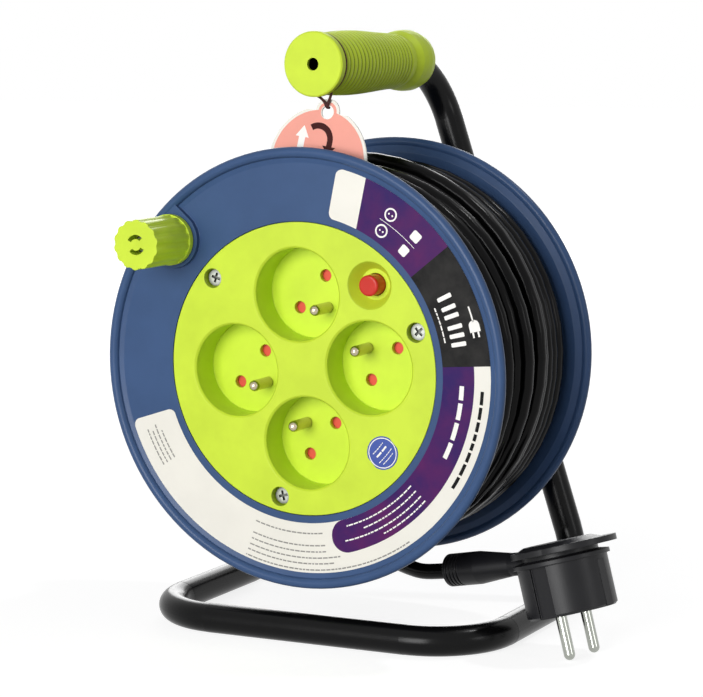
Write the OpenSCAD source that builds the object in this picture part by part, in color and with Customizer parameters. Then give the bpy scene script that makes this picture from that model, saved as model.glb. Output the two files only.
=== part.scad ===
// Extension cord reel on a bent tube stand.
// The drum turns on the stand's axle; four socket outlets, a thermal cutout and a crank knob turn
// with it. The supply lead is wound on the drum and ends in an angled plug.
// Millimetres, +Z up. The origin is the middle of the stand on the floor. The reel's axis runs along
// Y and the sockets face -Y. A depth is measured from the front flange's rim towards the rear.

/* [Stand] */
// Outside diameter of the bent tube
tube_od = 13; // [11:0.5:16]
// Wall of the bent tube
tube_wall = 1.2; // [0.8:0.1:2]
// Height of the reel's axis above the floor
axis_h = 120; // [112:1:150]
// Distance between the floor bars, centre to centre
base_w = 160.4; // [150:1:190]
// Depth of the front floor bar
base_front = 5; // [0:1:15]
// Depth of the leaning tubes behind the reel
stand_back = 132; // [130:1:150]
// Height of the grip's axis above the top of the flanges
grip_clear = 34.5; // [31:0.5:50]
// Sideways place of the grip
grip_x = 2; // [-5:0.5:10]
// Bend radius under the grip
grip_bend_r = 29.4; // [24:0.2:40]
// Bend radius of the front floor corners
front_bend_r = 33; // [25:1:45]
// Bend radius of the rear floor corners
rear_bend_r = 30; // [22:1:40]
// Bend radius from the leaning leg into the axle
axle_bend_r = 22; // [20:1:24]

/* [Grip] */
// Length of the grip
grip_len = 100; // [90:1:110]
// Depth of the grip's front end
grip_front = 11.4; // [8:0.1:14]
// Radius of the front disc
grip_disc_r = 13.9; // [13:0.1:16]
// Thickness of the front disc
grip_disc_t = 4.2; // [3:0.1:5]
// Middle radius of the ribbed barrel
grip_mid_r = 13.25; // [12.6:0.05:15]
// How far the barrel swells and narrows from that
grip_swell = 0.75; // [0:0.05:1]
// Pitch of the ribs
rib_pitch = 3.3; // [2.5:0.1:5]
// Depth of the grooves between the ribs
rib_depth = 0.9; // [0.2:0.1:1]
// Radius of the hole in the grip's end
grip_hole_r = 2.7; // [2:0.1:4]
// Thickness of the grip's face round that hole
grip_skin = 1.6; // [1.2:0.1:4]

/* [Drum] */
// Width of the flanges outside the socket plate
band_w = 31.9; // [30:0.1:45]
// Distance from the front rim to the rear rim
drum_w = 101.5; // [95:0.5:110]
// Thickness of the rolled rim
bead_t = 4.5; // [3:0.1:6]
// Depth of the flange's face behind its rim
web_depth = 2.8; // [2:0.1:4]
// Wall of the flanges
web_t = 2.4; // [1.8:0.1:3]
// Outer radius of the barrel that the lead winds on
barrel_r = 67; // [66.5:0.1:70]
// Wall of the barrel
barrel_wall = 2.2; // [1.8:0.1:3]
// Depth where the two halves of the barrel meet
barrel_split = 50; // [44:1:56]
// Outer radius of the hub
hub_r = 12; // [11.5:0.1:16]
// Wall of the axle bush
bush_wall = 2; // [1.5:0.1:2.5]

/* [Lead] */
// Diameter of the supply lead
cable_d = 6.9; // [6.3:0.1:7.5]
// Gap between neighbouring turns
turn_gap = 0.5; // [0.45:0.01:0.6]
// Number of turns in the outer layer
outer_turns = 10; // [6:1:10]
// Number of layers on the barrel
lead_layers = 3; // [2:1:3]
// How far one layer sinks between the turns of the one below
layer_nest = 0.85; // [0.5:0.05:1.2]

/* [Outlets] */
// Radius of the socket plate
plate_r = 63.1; // [62.5:0.1:63.5]
// Depth of the socket plate's face
plate_depth = 3; // [2.6:0.1:4]
// Thickness of the socket plate
plate_t = 2.5; // [2:0.1:3]
// Angle that the outlets are turned by
plate_turn = 49; // [0:1:90]
// Distance between neighbouring sockets
socket_pitch = 45.25; // [44.8:0.05:46]
// Inner radius of a socket well
well_r = 20; // [19.8:0.05:20.2]
// Depth of a socket well
well_h = 15.5; // [15:0.5:17.5]
// Wall of a socket well
well_wall = 1.8; // [1.2:0.1:2]
// Distance between the two pin holes
pin_pitch = 19; // [19]
// Radius of a pin hole
pin_hole_r = 2.7; // [2.6:0.05:2.8]
// Distance of the earth pin from the line of the holes
earth_offset = 10; // [10]
// Radius of a plug or earth pin
pin_r = 2.4; // [2.4]
// Height of an earth pin above the well's floor
earth_pin_h = 15; // [13:0.5:16]
// Travel of a shutter
shutter_travel = 6; // [5.9:0.1:6.5]

/* [Cutout] */
// Distance of the reset button from the reel's axis
cutout_r = 49.5; // [48:0.5:51]
// Radius of the dish round the button
dish_r = 10.2; // [9:0.1:11]
// Depth of the dish
dish_h = 6; // [4:0.5:7]
// Radius of the button's cap
button_r = 4.5; // [4:0.1:5]
// How far the button stands out of the socket plate
button_rise = 1.5; // [0.5:0.5:5]
// Travel of the button
button_travel = 2.5; // [1.5:0.1:3]

/* [Crank] */
// Distance of the knob from the edge of the flange
knob_inset = 13; // [12.5:0.1:14]
// Radius of the knob's rear skirt
knob_r = 11.1; // [10.5:0.1:12.5]
// Length of the knob
knob_len = 29.5; // [24:0.5:36]
// Number of flutes on the knob
knob_flutes = 14; // [10:1:18]
// Radius of the steel stem that the knob turns on
stem_r = 4; // [3:0.1:4.5]

/* [Plug] */
// Radius of the plug's body
plug_r = 19.5; // [18:0.1:19.5]
// Height of the plug's body under its collar
plug_h = 22; // [17:0.5:24]
// Free length of a plug pin
plug_pin_len = 19; // [19]
// Length from the plug's middle to the cable entry
plug_arm = 58; // [52:1:65]

/* [Tag] */
// Radius of the hanging tag
tag_r = 23.3; // [20:0.1:25]
// Thickness of the tag
tag_t = 0.8; // [0.5:0.1:1.2]
// Radius of the tag's hole
tag_hole_r = 2.75; // [2.5:0.05:3.2]
// Angle that the tag leans towards the front flange
tag_lean = 9; // [8:0.5:10]
// How far the tag hangs to the right of the grip's middle
tag_shift = 4.7; // [0:0.1:5]
// How far the tag is turned to the left
tag_tilt = 9; // [0:0.5:10]

/* [Fits] */
// Radial clearance of a running fit
run_fit = 0.05; // [0.02:0.01:0.1]
// Gap between pieces that move past each other
gap = 0.4; // [0.3:0.05:0.5]

/* [Hidden] */
$fn = 64;

tube_r = tube_od / 2;
flange_r = plate_r + band_w;
grip_rise = flange_r + grip_clear;
knob_at_r = flange_r - knob_inset;
winding_r = barrel_r + lead_layers * cable_d - (lead_layers - 1) * layer_nest;
// Half the depth of the whole reel, from the knob's face to the back of the stand
front_y = -(stand_back + tube_r - knob_len - gap) / 2;

// Sockets as [row, column] signs, in the order top, left, right, bottom
top_socket = [1, 1];
left_socket = [1, -1];
right_socket = [-1, 1];
bottom_socket = [-1, -1];
sockets = [top_socket, left_socket, right_socket, bottom_socket];
row_v = socket_pitch / 2;

// Depths of the pieces behind the socket plate, from the front
plate_back = plate_depth + plate_t;
well_floor = plate_depth + well_h;
well_floor_t = 2.5;
shutter_front = well_floor + well_floor_t + 0.3;
shutter_t = 2;
carrier_front = shutter_front + shutter_t + 0.3;
carrier_skin = 1.2;
carrier_h = 15;
carrier_back = carrier_front + carrier_h;
carrier_r = plate_r - 8.1;
earth_plate_t = 1;
carrier_screw_r = 44;
screw_circle_r = plate_r - 6.1;
post_r = 5;
post_top = 10.2;
head_seat = plate_depth + 5.2;
dish_wall = 1.6;
dish_floor_r = button_r + 2.2;
screw_angles = [-30, 90, 210];
carrier_angles = [90, 180, 270];
// Distance of the strips that join the two rows from the middle
link_u = 36.4;
// A pin's hidden foot is thinner than the pin, down to just above the face it stands on
foot_r = pin_r - 0.2;
foot_rise = 0.5;

// Drum section
bead_r = bead_t / 2;
bead_at_r = flange_r - bead_r;
web_back = web_depth + web_t;
rear_web = drum_w - web_back;
fillet_w = 2.2;
ledge_w = 3;
plate_gap = 0.3;
lap_len = 6;
hub_front = 62;
hub_back = drum_w - 0.5;
bush_flange_t = 1.5;
bush_r = tube_r + run_fit + bush_wall;
washer_t = 1.5;
axle_end = hub_front - gap;
insert_len = 18;

// Winding
lane = 12.5;
pitch = cable_d + turn_gap;
cable_r = cable_d / 2;
turn_r = winding_r - cable_r;
core_r = turn_r * cos(7.5) - cable_r - 0.2;
winding_back = rear_web - 0.3 - cable_r;
winding_front = winding_back - outer_turns * pitch;
turn_rings = 24;
winding_end_angle = 242;
climb_r = 40;

// Plug place: the middle of its face, and its turn about X, Y and Z
plug_pos = [112.7, -20, 18.8];
plug_turn = [-1.6, -16.6, -11];
arm_z = 27.6;
// How far the arm droops from the saucer's plane
arm_droop = 5;

// Middle of the lead between the drum and the plug's arm, chosen by hand
tail_points = [
    [-38.6, 30.9, 38.8], [-30.8, 30.1, 35.4], [-21.4, 27.3, 32.5], [-11, 22.5, 30.3], [0, 16.1, 28.9],
    [9, 10.6, 28], [18, 5.2, 27], [27, 0.2, 26.2], [35, -3.4, 26]
];

// ---------- Helpers ----------

// A frame on the reel's axis: X right, Y up, Z out of the front flange's rim towards the viewer
module reel() { translate([0, front_y, axis_h]) rotate([90, 0, 0]) children(); }

// The reel's frame, turned so that the rows of sockets run along X
module outlets() { reel() rotate(plate_turn) children(); }

// A disc between two depths
module disc(r, from, to) { translate([0, 0, -to]) cylinder(r = r, h = to - from); }

// A block between two depths, centred on a place
module block(at, size, from, to) {
    translate([at[0] - size[0] / 2, at[1] - size[1] / 2, -to]) cube([size[0], size[1], to - from]);
}

// A body of revolution from points of radius and depth
module turned(points) { rotate_extrude() polygon([for (p = points) [p[0], -p[1]]]); }

function unit(v) = v / norm(v);
function polar(r, a) = [r * cos(a), r * sin(a)];

// A ring of points round a centre, spanned by two unit vectors
function ring(c, x, y, r, sides) =
    [for (k = [0 : sides - 1]) c + r * cos(360 * k / sides) * x + r * sin(360 * k / sides) * y];

// Triangles that close a stack of rings into a tube
function tube_faces(rings, sides) = concat(
    [for (k = [1 : sides - 2]) [0, k, k + 1]],
    [for (i = [0 : rings - 2]) for (k = [0 : sides - 1])
        each [[i * sides + k, (i + 1) * sides + k, i * sides + (k + 1) % sides],
              [i * sides + (k + 1) % sides, (i + 1) * sides + k, (i + 1) * sides + (k + 1) % sides]]],
    [for (k = [1 : sides - 2]) [(rings - 1) * sides, (rings - 1) * sides + k + 1, (rings - 1) * sides + k]]
);

// A point on the smooth curve through four points, between the middle two
function smooth_point(a, b, c, d, t) =
    b + 0.5 * t * (c - a + t * (2 * a - 5 * b + 4 * c - d + t * (3 * (b - c) + d - a)));

// A route with steps points added along each of its stretches
function smooth_route(p, steps) = concat(
    [for (i = [0 : len(p) - 2]) for (k = [0 : steps - 1])
        smooth_point(p[max(i - 1, 0)], p[i], p[i + 1], p[min(i + 2, len(p) - 1)], k / steps)],
    [p[len(p) - 1]]
);

// A round tube swept along a route; up is a direction that the route never takes
module swept(route, r, sides, up) {
    last = len(route) - 1;
    rings = [for (i = [0 : last])
        let (t = unit(route[min(i + 1, last)] - route[max(i - 1, 0)]))
        let (x = unit(cross(up, t)))
        ring(route[i], x, cross(t, x), r, sides)];
    polyhedron(points = [for (q = rings) each q], faces = tube_faces(last + 1, sides));
}

// A cross-head screw along Z, its seat at z = 0 and its shank downwards
module screw(head_r, head_h, shank_r, shank_len) {
    difference() {
        union() {
            cylinder(r = head_r, h = head_h);
            translate([0, 0, -shank_len]) cylinder(r = shank_r, h = shank_len);
        }
        for (a = [0, 90]) rotate(a) translate([-head_r * 0.6, -0.55, head_h - 1.4])
            cube([head_r * 1.2, 1.1, 1.5]);
    }
}

// ---------- Stand ----------

stand_points = [
    [grip_x, front_y + grip_front + grip_disc_t + 3, axis_h + grip_rise],
    [grip_x, front_y + stand_back, axis_h + grip_rise],
    [base_w / 2, front_y + stand_back, tube_r],
    [base_w / 2, front_y + base_front, tube_r],
    [-base_w / 2, front_y + base_front, tube_r],
    [-base_w / 2, front_y + stand_back, tube_r],
    [0, front_y + stand_back, axis_h],
    [0, front_y + axle_end, axis_h]
];
// How far a straight runs on into its bend, and how much thinner the tube is in a bend
bend_lap = 0.6;
bend_thin = 0.05;
stand_bends = [0, grip_bend_r, rear_bend_r, front_bend_r, front_bend_r, rear_bend_r, axle_bend_r, 0];

function heading(p, i) = unit(p[i + 1] - p[i]);
function turn_at(p, i) = acos(heading(p, i - 1) * heading(p, i));
function cut_back(p, i) =
    i == 0 || i == len(p) - 1 ? 0 : stand_bends[i] * tan(turn_at(p, i) / 2);

// One straight of the stand's path, from bend i to bend i + 1; past is added at a free end
module straight(p, i, r, past) {
    d = heading(p, i);
    x = unit(cross(abs(d[1]) > 0.9 ? [0, 0, 1] : [0, 1, 0], d));
    y = cross(d, x);
    from = i == 0 ? -past : cut_back(p, i) - bend_lap;
    to = i == len(p) - 2 ? -past : cut_back(p, i + 1) - bend_lap;
    s = p[i] + d * from;
    multmatrix([[x[0], y[0], d[0], s[0]], [x[1], y[1], d[1], s[1]], [x[2], y[2], d[2], s[2]]])
        cylinder(r = r, h = norm(p[i + 1] - p[i]) - from - to);
}

// The elbow of the stand's path at bend i, drawn a little thinner by the bending
module elbow(p, i, r) {
    d = heading(p, i - 1);
    e = heading(p, i);
    n = unit(e - (d * e) * d);
    c = p[i] - d * cut_back(p, i) + n * stand_bends[i];
    z = cross(-n, d);
    multmatrix([[-n[0], d[0], z[0], c[0]], [-n[1], d[1], z[1], c[1]], [-n[2], d[2], z[2], c[2]]])
        rotate_extrude(angle = turn_at(p, i)) translate([stand_bends[i], 0]) circle(r = r - bend_thin);
}

module stand_path(r, first, last, past) {
    for (i = [first : last]) straight(stand_points, i, r, past);
    for (i = [first + 1 : last]) elbow(stand_points, i, r);
}

module frame_tube() {
    last = len(stand_points) - 2;
    color("#1c1c1e") difference() {
        union() stand_path(tube_r, 0, last, 0);
        union() stand_path(tube_r - tube_wall, 0, last, 1);
    }
}

function barrel_radius(z) = grip_mid_r + grip_swell * cos(180 * (z - 0.32 * grip_len) / (0.46 * grip_len));

module handle_grip() {
    neck_from = grip_disc_t + 0.1;
    neck_to = neck_from + 2.2;
    neck_r = grip_disc_r - 1.5;
    collar_from = 0.8 * grip_len;
    ribs = floor((collar_from - neck_to - 1) / rib_pitch);
    rib_points = [for (i = [0 : ribs - 1])
        let (z = neck_to + 0.5 + i * rib_pitch)
        // A narrow valley, then a rounded crest
        each [for (q = [[0, 1], [0.1, 0.45], [0.25, 0.1], [0.4, 0], [0.6, 0], [0.75, 0.1], [0.9, 0.45]])
            [barrel_radius(z + q[0] * rib_pitch) - q[1] * rib_depth, z + q[0] * rib_pitch]]];
    collar_points = [
        [barrel_radius(collar_from) - rib_depth, collar_from], [grip_disc_r - 0.5, 0.84 * grip_len],
        [grip_disc_r - 0.1, 0.88 * grip_len], [grip_disc_r - 0.1, 0.92 * grip_len],
        [grip_disc_r - 1.2, 0.97 * grip_len], [grip_disc_r - 3.4, grip_len], [0, grip_len]
    ];
    color("#b5d334") difference() {
        translate([grip_x, front_y + grip_front, axis_h + grip_rise]) rotate([-90, 0, 0])
            rotate_extrude() polygon(concat(
                [[0, 0], [grip_disc_r - 0.6, 0], [grip_disc_r, 0.6], [grip_disc_r, grip_disc_t - 0.5],
                 [grip_disc_r - 0.5, grip_disc_t], [neck_r, neck_from], [neck_r, neck_to]],
                rib_points, collar_points));
        stand_path(tube_r + run_fit, 0, 1, 0);
        // The hole opens into a wider hollow in front of the tube
        translate([grip_x, front_y + grip_front, axis_h + grip_rise]) rotate([-90, 0, 0]) {
            translate([0, 0, -1]) cylinder(r = grip_hole_r, h = grip_skin + 2);
            translate([0, 0, grip_skin]) cylinder(r = tube_r - tube_wall, h = grip_disc_t + 3.5 - grip_skin);
        }
    }
}

module axle_insert() {
    color("silver") reel() difference() {
        disc(tube_r - tube_wall, axle_end, axle_end + insert_len);
        disc(3, axle_end - 1, axle_end + insert_len + 1);
    }
}

module axle_collar() {
    color("#303030") reel() difference() {
        disc(bush_r + 1.5, hub_back + bush_flange_t + gap, hub_back + bush_flange_t + gap + 3);
        disc(tube_r, hub_back, hub_back + bush_flange_t + gap + 4);
    }
}

module axle_washer() {
    color("silver") reel() difference() {
        disc(bush_r + 2.5, axle_end - washer_t, axle_end);
        disc(3.2, axle_end - washer_t - 1, axle_end + 1);
    }
}

module axle_screw() {
    color("silver") reel() {
        disc(3, axle_end - washer_t, axle_end + insert_len - 3);
        translate([0, 0, washer_t - axle_end]) cylinder(r = 5.8, h = 4, $fn = 6);
    }
}

// ---------- Drum ----------

module bead(depth) { translate([bead_at_r, -depth]) circle(r = bead_r); }

module knob_place() { rotate(plate_turn + 90) translate([knob_at_r, 0, 0]) children(); }

module front_flange() {
    inner_r = barrel_r - barrel_wall;
    boss_r = knob_r + 1.6;
    color("#34548a") reel() difference() {
        union() {
            rotate_extrude() {
                polygon([for (p = [
                    [plate_r - ledge_w, plate_back], [plate_r + plate_gap, plate_back],
                    [plate_r + plate_gap, web_depth], [bead_at_r - bead_r - fillet_w, web_depth],
                    [bead_at_r, bead_r - 0.6], [bead_at_r, bead_r + 1.2],
                    [bead_at_r - bead_r - fillet_w, web_back], [barrel_r, web_back],
                    [barrel_r, barrel_split], [inner_r, barrel_split], [inner_r, plate_back + web_t],
                    [plate_r - ledge_w, plate_back + web_t]]) [p[0], -p[1]]]);
                bead(bead_r);
            }
            intersection() {
                disc(bead_at_r, gap + 0.1, web_back);
                rotate(plate_turn + 90) union() {
                    translate([knob_at_r, 0, -web_back]) cylinder(r = boss_r, h = web_back);
                    translate([knob_at_r, -boss_r, -web_back]) cube([boss_r, 2 * boss_r, web_back]);
                }
            }
        }
        knob_place() disc(stem_r, -1, web_back + 1);
        // Room in the ledge for the socket plate's screw bosses
        for (a = screw_angles) rotate(plate_turn + a) translate([screw_circle_r, 0, 0])
            disc(post_r + plate_gap, plate_back - 1, plate_back + web_t + 1);
        // and for the back of the button's dish
        rotate(plate_turn) translate([cutout_r, 0, 0])
            disc(dish_r + dish_wall + plate_gap, plate_back - 1, plate_back + web_t + 1);
    }
}

module rear_flange() {
    inner_r = barrel_r - barrel_wall;
    lap_r = inner_r - 0.1;
    lap_wall = 2;
    rib_h = 12;
    color("#34548a") reel() difference() {
        union() {
            rotate_extrude() {
                polygon([for (p = [
                    [hub_r - 1, drum_w - web_depth], [bead_at_r - bead_r - fillet_w, drum_w - web_depth],
                    [bead_at_r, drum_w - bead_r + 0.6], [bead_at_r, drum_w - bead_r - 1.2],
                    [bead_at_r - bead_r - fillet_w, rear_web], [barrel_r, rear_web],
                    [barrel_r, barrel_split], [lap_r, barrel_split], [lap_r, barrel_split - lap_len],
                    [lap_r - lap_wall, barrel_split - lap_len], [lap_r - lap_wall, barrel_split + lap_len],
                    [inner_r, barrel_split + lap_len], [inner_r, rear_web], [hub_r - 1, rear_web]])
                    [p[0], -p[1]]]);
                bead(drum_w - bead_r);
            }
            disc(hub_r, hub_front, hub_back);
            for (a = screw_angles) rotate(plate_turn + a) translate([screw_circle_r, 0, 0])
                disc(post_r, post_top, rear_web + 0.5);
            for (i = [0 : 5]) rotate(60 * i) block([(hub_r + inner_r) / 2, 0],
                [inner_r - hub_r + 1.5, 1.6], rear_web - rib_h, rear_web + 0.5);
            clamp_place() block([0, 0], [12, 20], clamp_depth + cable_r - 0.4, rear_web + 0.5);
        }
        disc(bush_r, hub_front - 1, drum_w + 1);
        for (a = screw_angles) rotate(plate_turn + a) translate([screw_circle_r, 0, 0])
            disc(2.05, post_top - 1, 45);
        clamp_place() translate([-lead_in - 1, 0, -clamp_depth]) rotate([0, 90, 0])
            cylinder(r = cable_r + 0.1, h = lead_in + barrel_r - clamp_r + 5);
        clamp_place() for (s = [-1, 1]) translate([0, s * clamp_screw_v, 0])
            disc(1.5, clamp_depth, rear_web - 1);
    }
}

module axle_bush() {
    color("ivory") reel() difference() {
        union() {
            disc(bush_r, hub_front, hub_back);
            disc(bush_r + 2.5, hub_back, hub_back + bush_flange_t);
        }
        disc(tube_r + run_fit, hub_front - 1, hub_back + bush_flange_t + 1);
    }
}

// ---------- Outlets ----------

module at_socket(s) { translate([s[1] * row_v, s[0] * row_v, 0]) children(); }

module at_pin_holes() {
    for (s = sockets) at_socket(s) for (d = [-1, 1]) translate([d * pin_pitch / 2, 0, 0]) children();
}

module at_earth_pins() {
    for (s = sockets) at_socket(s) translate([0, -s[0] * earth_offset, 0]) children();
}

module socket_plate() {
    boss_top = plate_back - 0.1;
    color("#b5d334") outlets() difference() {
        union() {
            disc(plate_r, plate_depth, plate_back);
            for (a = screw_angles) rotate(a) translate([screw_circle_r, 0, 0])
                disc(post_r, boss_top, post_top);
            for (a = carrier_angles) rotate(a) translate([carrier_screw_r, 0, 0])
                disc(3.2, boss_top, carrier_front);
            translate([cutout_r, 0, 0]) disc(dish_r + dish_wall, boss_top, plate_depth + dish_h + 2);
        }
        for (s = sockets) at_socket(s) {
            disc(well_r, plate_depth - 1, plate_back + 1);
            translate([0, 0, -plate_depth - 0.8]) cylinder(r1 = well_r, r2 = well_r + 1, h = 1);
        }
        for (a = screw_angles) rotate(a) translate([screw_circle_r, 0, 0]) {
            disc(4.25, plate_depth - 1, head_seat);
            disc(2.2, plate_depth - 1, post_top + 1);
        }
        for (a = carrier_angles) rotate(a) translate([carrier_screw_r, 0, 0])
            disc(1.5, carrier_front - 10, carrier_front + 1);
        translate([cutout_r, 0, 0]) {
            // A bowl that narrows towards the button
            translate([0, 0, -plate_depth - dish_h]) cylinder(r1 = dish_floor_r, r2 = dish_r, h = dish_h);
            disc(dish_r, plate_depth - 1, plate_depth + 0.3);
            disc(button_r + 0.3, plate_depth, plate_depth + dish_h + 3);
        }
    }
}

// One of the four cups behind the plate's round openings, moulded on to its back
module well(s) {
    color("#b5d334") outlets() difference() {
        at_socket(s) disc(well_r + well_wall, plate_back, well_floor + well_floor_t);
        at_socket(s) disc(well_r, plate_back - 1, well_floor);
        at_pin_holes() disc(pin_hole_r, well_floor - 1, well_floor + well_floor_t + 1);
        at_earth_pins() disc(foot_r + run_fit, well_floor - 1, well_floor + well_floor_t + 1);
    }
}

module well_top() { well(top_socket); }
module well_left() { well(left_socket); }
module well_right() { well(right_socket); }
module well_bottom() { well(bottom_socket); }

module plate_screws() {
    color("silver") outlets() for (a = screw_angles) rotate(a)
        translate([screw_circle_r, 0, -head_seat]) rotate(25) screw(3.6, 2.3, 2, 30);
}

// The long room in the carrier for one row of contacts
module contact_room(row) {
    block([0, row * row_v], [2 * link_u + 3.2, 12.6], carrier_front + carrier_skin, carrier_back + 1);
}

module contact_carrier() {
    cutout_room = 25;
    color("#3a3a3c") outlets() difference() {
        union() {
            disc(carrier_r, carrier_front, carrier_back);
            for (s = sockets) at_socket(s) for (d = [-1, 1])
                block([d * 14.4, s[0] * shutter_travel / 2], [1.6, 13], shutter_front,
                    carrier_front + 0.5);
        }
        for (row = [-1, 1]) contact_room(row);
        for (d = [-1, 1]) block([d * link_u, 0], [2.2, socket_pitch + 12.6],
            carrier_front + carrier_skin, carrier_back + 1);
        at_pin_holes() disc(pin_r + 0.6, carrier_front - 1, carrier_back);
        at_earth_pins() disc(foot_r + run_fit, carrier_front - 1, carrier_back + 1);
        for (a = carrier_angles) rotate(a) translate([carrier_screw_r, 0, 0])
            disc(1.6, carrier_front - 1, carrier_back + 1);
        for (a = screw_angles) rotate(a) translate([screw_circle_r, 0, 0])
            disc(post_r + 0.6, carrier_front - 1, carrier_back + 1);
        block([carrier_r, 0], [2 * (carrier_r - 41), cutout_room], carrier_front - 1, carrier_back + 1);
    }
}

module carrier_screws() {
    color("silver") outlets() for (a = carrier_angles) rotate(a)
        translate([carrier_screw_r, 0, -carrier_back]) rotate([180, 0, 0])
            screw(2.8, 1.8, 1.45, carrier_h + 8);
}

// One polarity: side is 1 or -1
module contacts(side) {
    leaf_t = 0.8;
    leaf_in = pin_r + 0.1;
    strip_v = 5;
    hole_u = row_v + pin_pitch / 2;
    near_u = row_v - pin_pitch / 2;
    strip_len = near_u + link_u + 3.4;
    strip_from = carrier_front + 3;
    strip_to = carrier_front + 11;
    for (row = [-1, 1]) translate([0, row * row_v, 0]) {
        block([side * (link_u + 0.4 - strip_len / 2), side * strip_v], [strip_len, leaf_t],
            strip_from, strip_to);
        for (u = [side * hole_u, -side * near_u]) translate([u, 0, 0]) {
            for (d = [-1, 1]) block([0, d * (leaf_in + leaf_t / 2)], [6, leaf_t],
                carrier_front + 1.8, carrier_back);
            block([0, 0], [6, 2 * (leaf_in + leaf_t)], carrier_back - leaf_t, carrier_back);
            block([0, side * (leaf_in + leaf_t + strip_v) / 2],
                [4, strip_v - leaf_in - leaf_t + 0.2], strip_from, strip_to);
        }
    }
    block([side * link_u, side * strip_v], [leaf_t, socket_pitch + leaf_t], strip_from, strip_to);
    block([side * link_u, side * strip_v], [leaf_t, 5], strip_from, carrier_back + 6);
}

module live_contacts() { color("#c8a24a") outlets() contacts(1); }

module neutral_contacts() { color("#c8a24a") outlets() contacts(-1); }

module earth_pins() {
    color("#c8a24a") outlets() at_earth_pins() {
        disc(pin_r, well_floor - earth_pin_h + pin_r, well_floor - foot_rise);
        disc(foot_r, well_floor - foot_rise - 1, carrier_back + earth_plate_t);
        translate([0, 0, earth_pin_h - well_floor - pin_r]) sphere(r = pin_r);
    }
}

module earth_plate() {
    bar_v = row_v - earth_offset;
    color("#c8a24a") outlets() difference() {
        union() {
            for (row = [-1, 1]) block([0, row * bar_v], [socket_pitch + 8, 7], carrier_back,
                carrier_back + earth_plate_t);
            block([0, 0], [7, 2 * bar_v + 1], carrier_back, carrier_back + earth_plate_t);
            block([0, 0], [5, earth_plate_t], carrier_back + 0.5, carrier_back + 7);
        }
        at_earth_pins() disc(foot_r + run_fit, carrier_back - 1, carrier_back + 2);
    }
}

module cutout_body() {
    from = plate_depth + dish_h + 2;
    color("#2b2b2d") outlets() translate([cutout_r - 1, 0, 0]) difference() {
        union() {
            block([0, 0], [14, 22], from, from + 27);
            translate([1, 0, 0]) disc(6, from, from + 3);
        }
        translate([1, 0, 0]) disc(2.5 + run_fit, from - 1, from + 14);
        translate([1, 0, 0]) disc(button_r + 0.3, from - 1, from + 3.5);
        for (v = [-6, 6]) block([0, v], [6.3, 0.8], from + 20, from + 28);
    }
}

module cutout_terminals() {
    from = plate_depth + dish_h + 29;
    color("silver") outlets() translate([cutout_r - 1, 0, 0]) for (v = [-6, 6]) difference() {
        block([0, v], [6.3, 0.8], from - 7, from + 8);
        translate([0, v, -from - 5]) rotate([90, 0, 0]) cylinder(r = 0.9, h = 2, center = true);
    }
}

module reset_button() {
    cap_front = plate_depth - button_rise;
    cap_back = plate_depth + dish_h + 2 + 3.5 - button_travel - 0.3;
    color("#d8281f") outlets() translate([cutout_r, 0, 0]) {
        rotate_extrude() intersection() {
            translate([0, -cap_back]) square([button_r, cap_back - cap_front]);
            union() {
                translate([0, -cap_back]) square([button_r, cap_back - cap_front - 1]);
                translate([0, -cap_back]) square([button_r - 1, cap_back - cap_front]);
                translate([button_r - 1, -cap_front - 1]) circle(r = 1);
            }
        }
        disc(2.5, cap_back - 1, cap_back + 9);
    }
}

// A slider that closes both pin holes of one socket, with a short moulded spring tongue
module shutter(s) {
    color("#d8281f") outlets() at_socket(s) {
        block([0, 0], [26.6, 2 * pin_hole_r + 0.8], shutter_front, shutter_front + shutter_t);
        block([0, -s[0] * 4.4], [8, 2.2], shutter_front + 0.6, shutter_front + shutter_t);
    }
}

module shutter_top() { shutter(top_socket); }
module shutter_left() { shutter(left_socket); }
module shutter_right() { shutter(right_socket); }
module shutter_bottom() { shutter(bottom_socket); }

// ---------- Crank ----------

module knob_stem() {
    reach = knob_len - 6;
    color("silver") reel() knob_place() {
        turned([[0, -reach], [stem_r - 0.6, -reach], [stem_r, -reach + 0.6], [stem_r, -reach + 3],
            [stem_r - 0.7, -reach + 3.5], [stem_r - 0.7, -reach + 5], [stem_r, -reach + 5.5],
            [stem_r, web_back], [stem_r + 2, web_back], [stem_r + 2, web_back + 1.5], [0, web_back + 1.5]]);
    }
}

module crank_knob() {
    bore_len = knob_len - 5;
    core = knob_r - 0.9;
    lobe_r = 2.3;
    reach = knob_len - 6;
    bore_r = stem_r + run_fit;
    color("#b5d334") reel() knob_place() difference() {
        union() {
            cylinder(r = knob_r, h = 2.6);
            linear_extrude(knob_len) {
                circle(r = core);
                for (i = [0 : knob_flutes - 1]) rotate(360 * i / knob_flutes)
                    translate([knob_r - 0.3 - lobe_r, 0]) circle(r = lobe_r);
            }
        }
        rotate_extrude() polygon([[0, -1], [bore_r, -1], [bore_r, reach - 5.3], [bore_r - 0.6, reach - 4.7],
            [bore_r - 0.6, reach - 3.8], [bore_r, reach - 3.2], [bore_r, bore_len], [0, bore_len]]);
        for (a = [85, 265]) rotate(a) rotate_extrude(angle = 110)
            translate([2.5, bore_len - 2]) square([1.8, 8]);
    }
}

// ---------- Label and sticker ----------

module flange_label() {
    inner = plate_r + 3.4;
    outer = bead_at_r - bead_r - fillet_w - 0.1;
    // The label runs from just right of the top, clockwise, to the lower left
    color("#efece4") reel() rotate(198) rotate_extrude(angle = 240.5)
        translate([inner, -web_depth]) square([outer - inner, 0.2]);
}

module plate_sticker() {
    color("#2a4fa0") outlets() translate([0, 12.2 - plate_r, -plate_depth]) rotate(-6)
        linear_extrude(0.15) intersection() {
            circle(r = 7.2);
            square([13.4, 14.4], center = true);
        }
}

// ---------- Lead on the drum ----------

module clamp_place() { rotate(210) translate([clamp_r, 0, 0]) children(); }
clamp_r = 52;
clamp_depth = 80;
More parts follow.
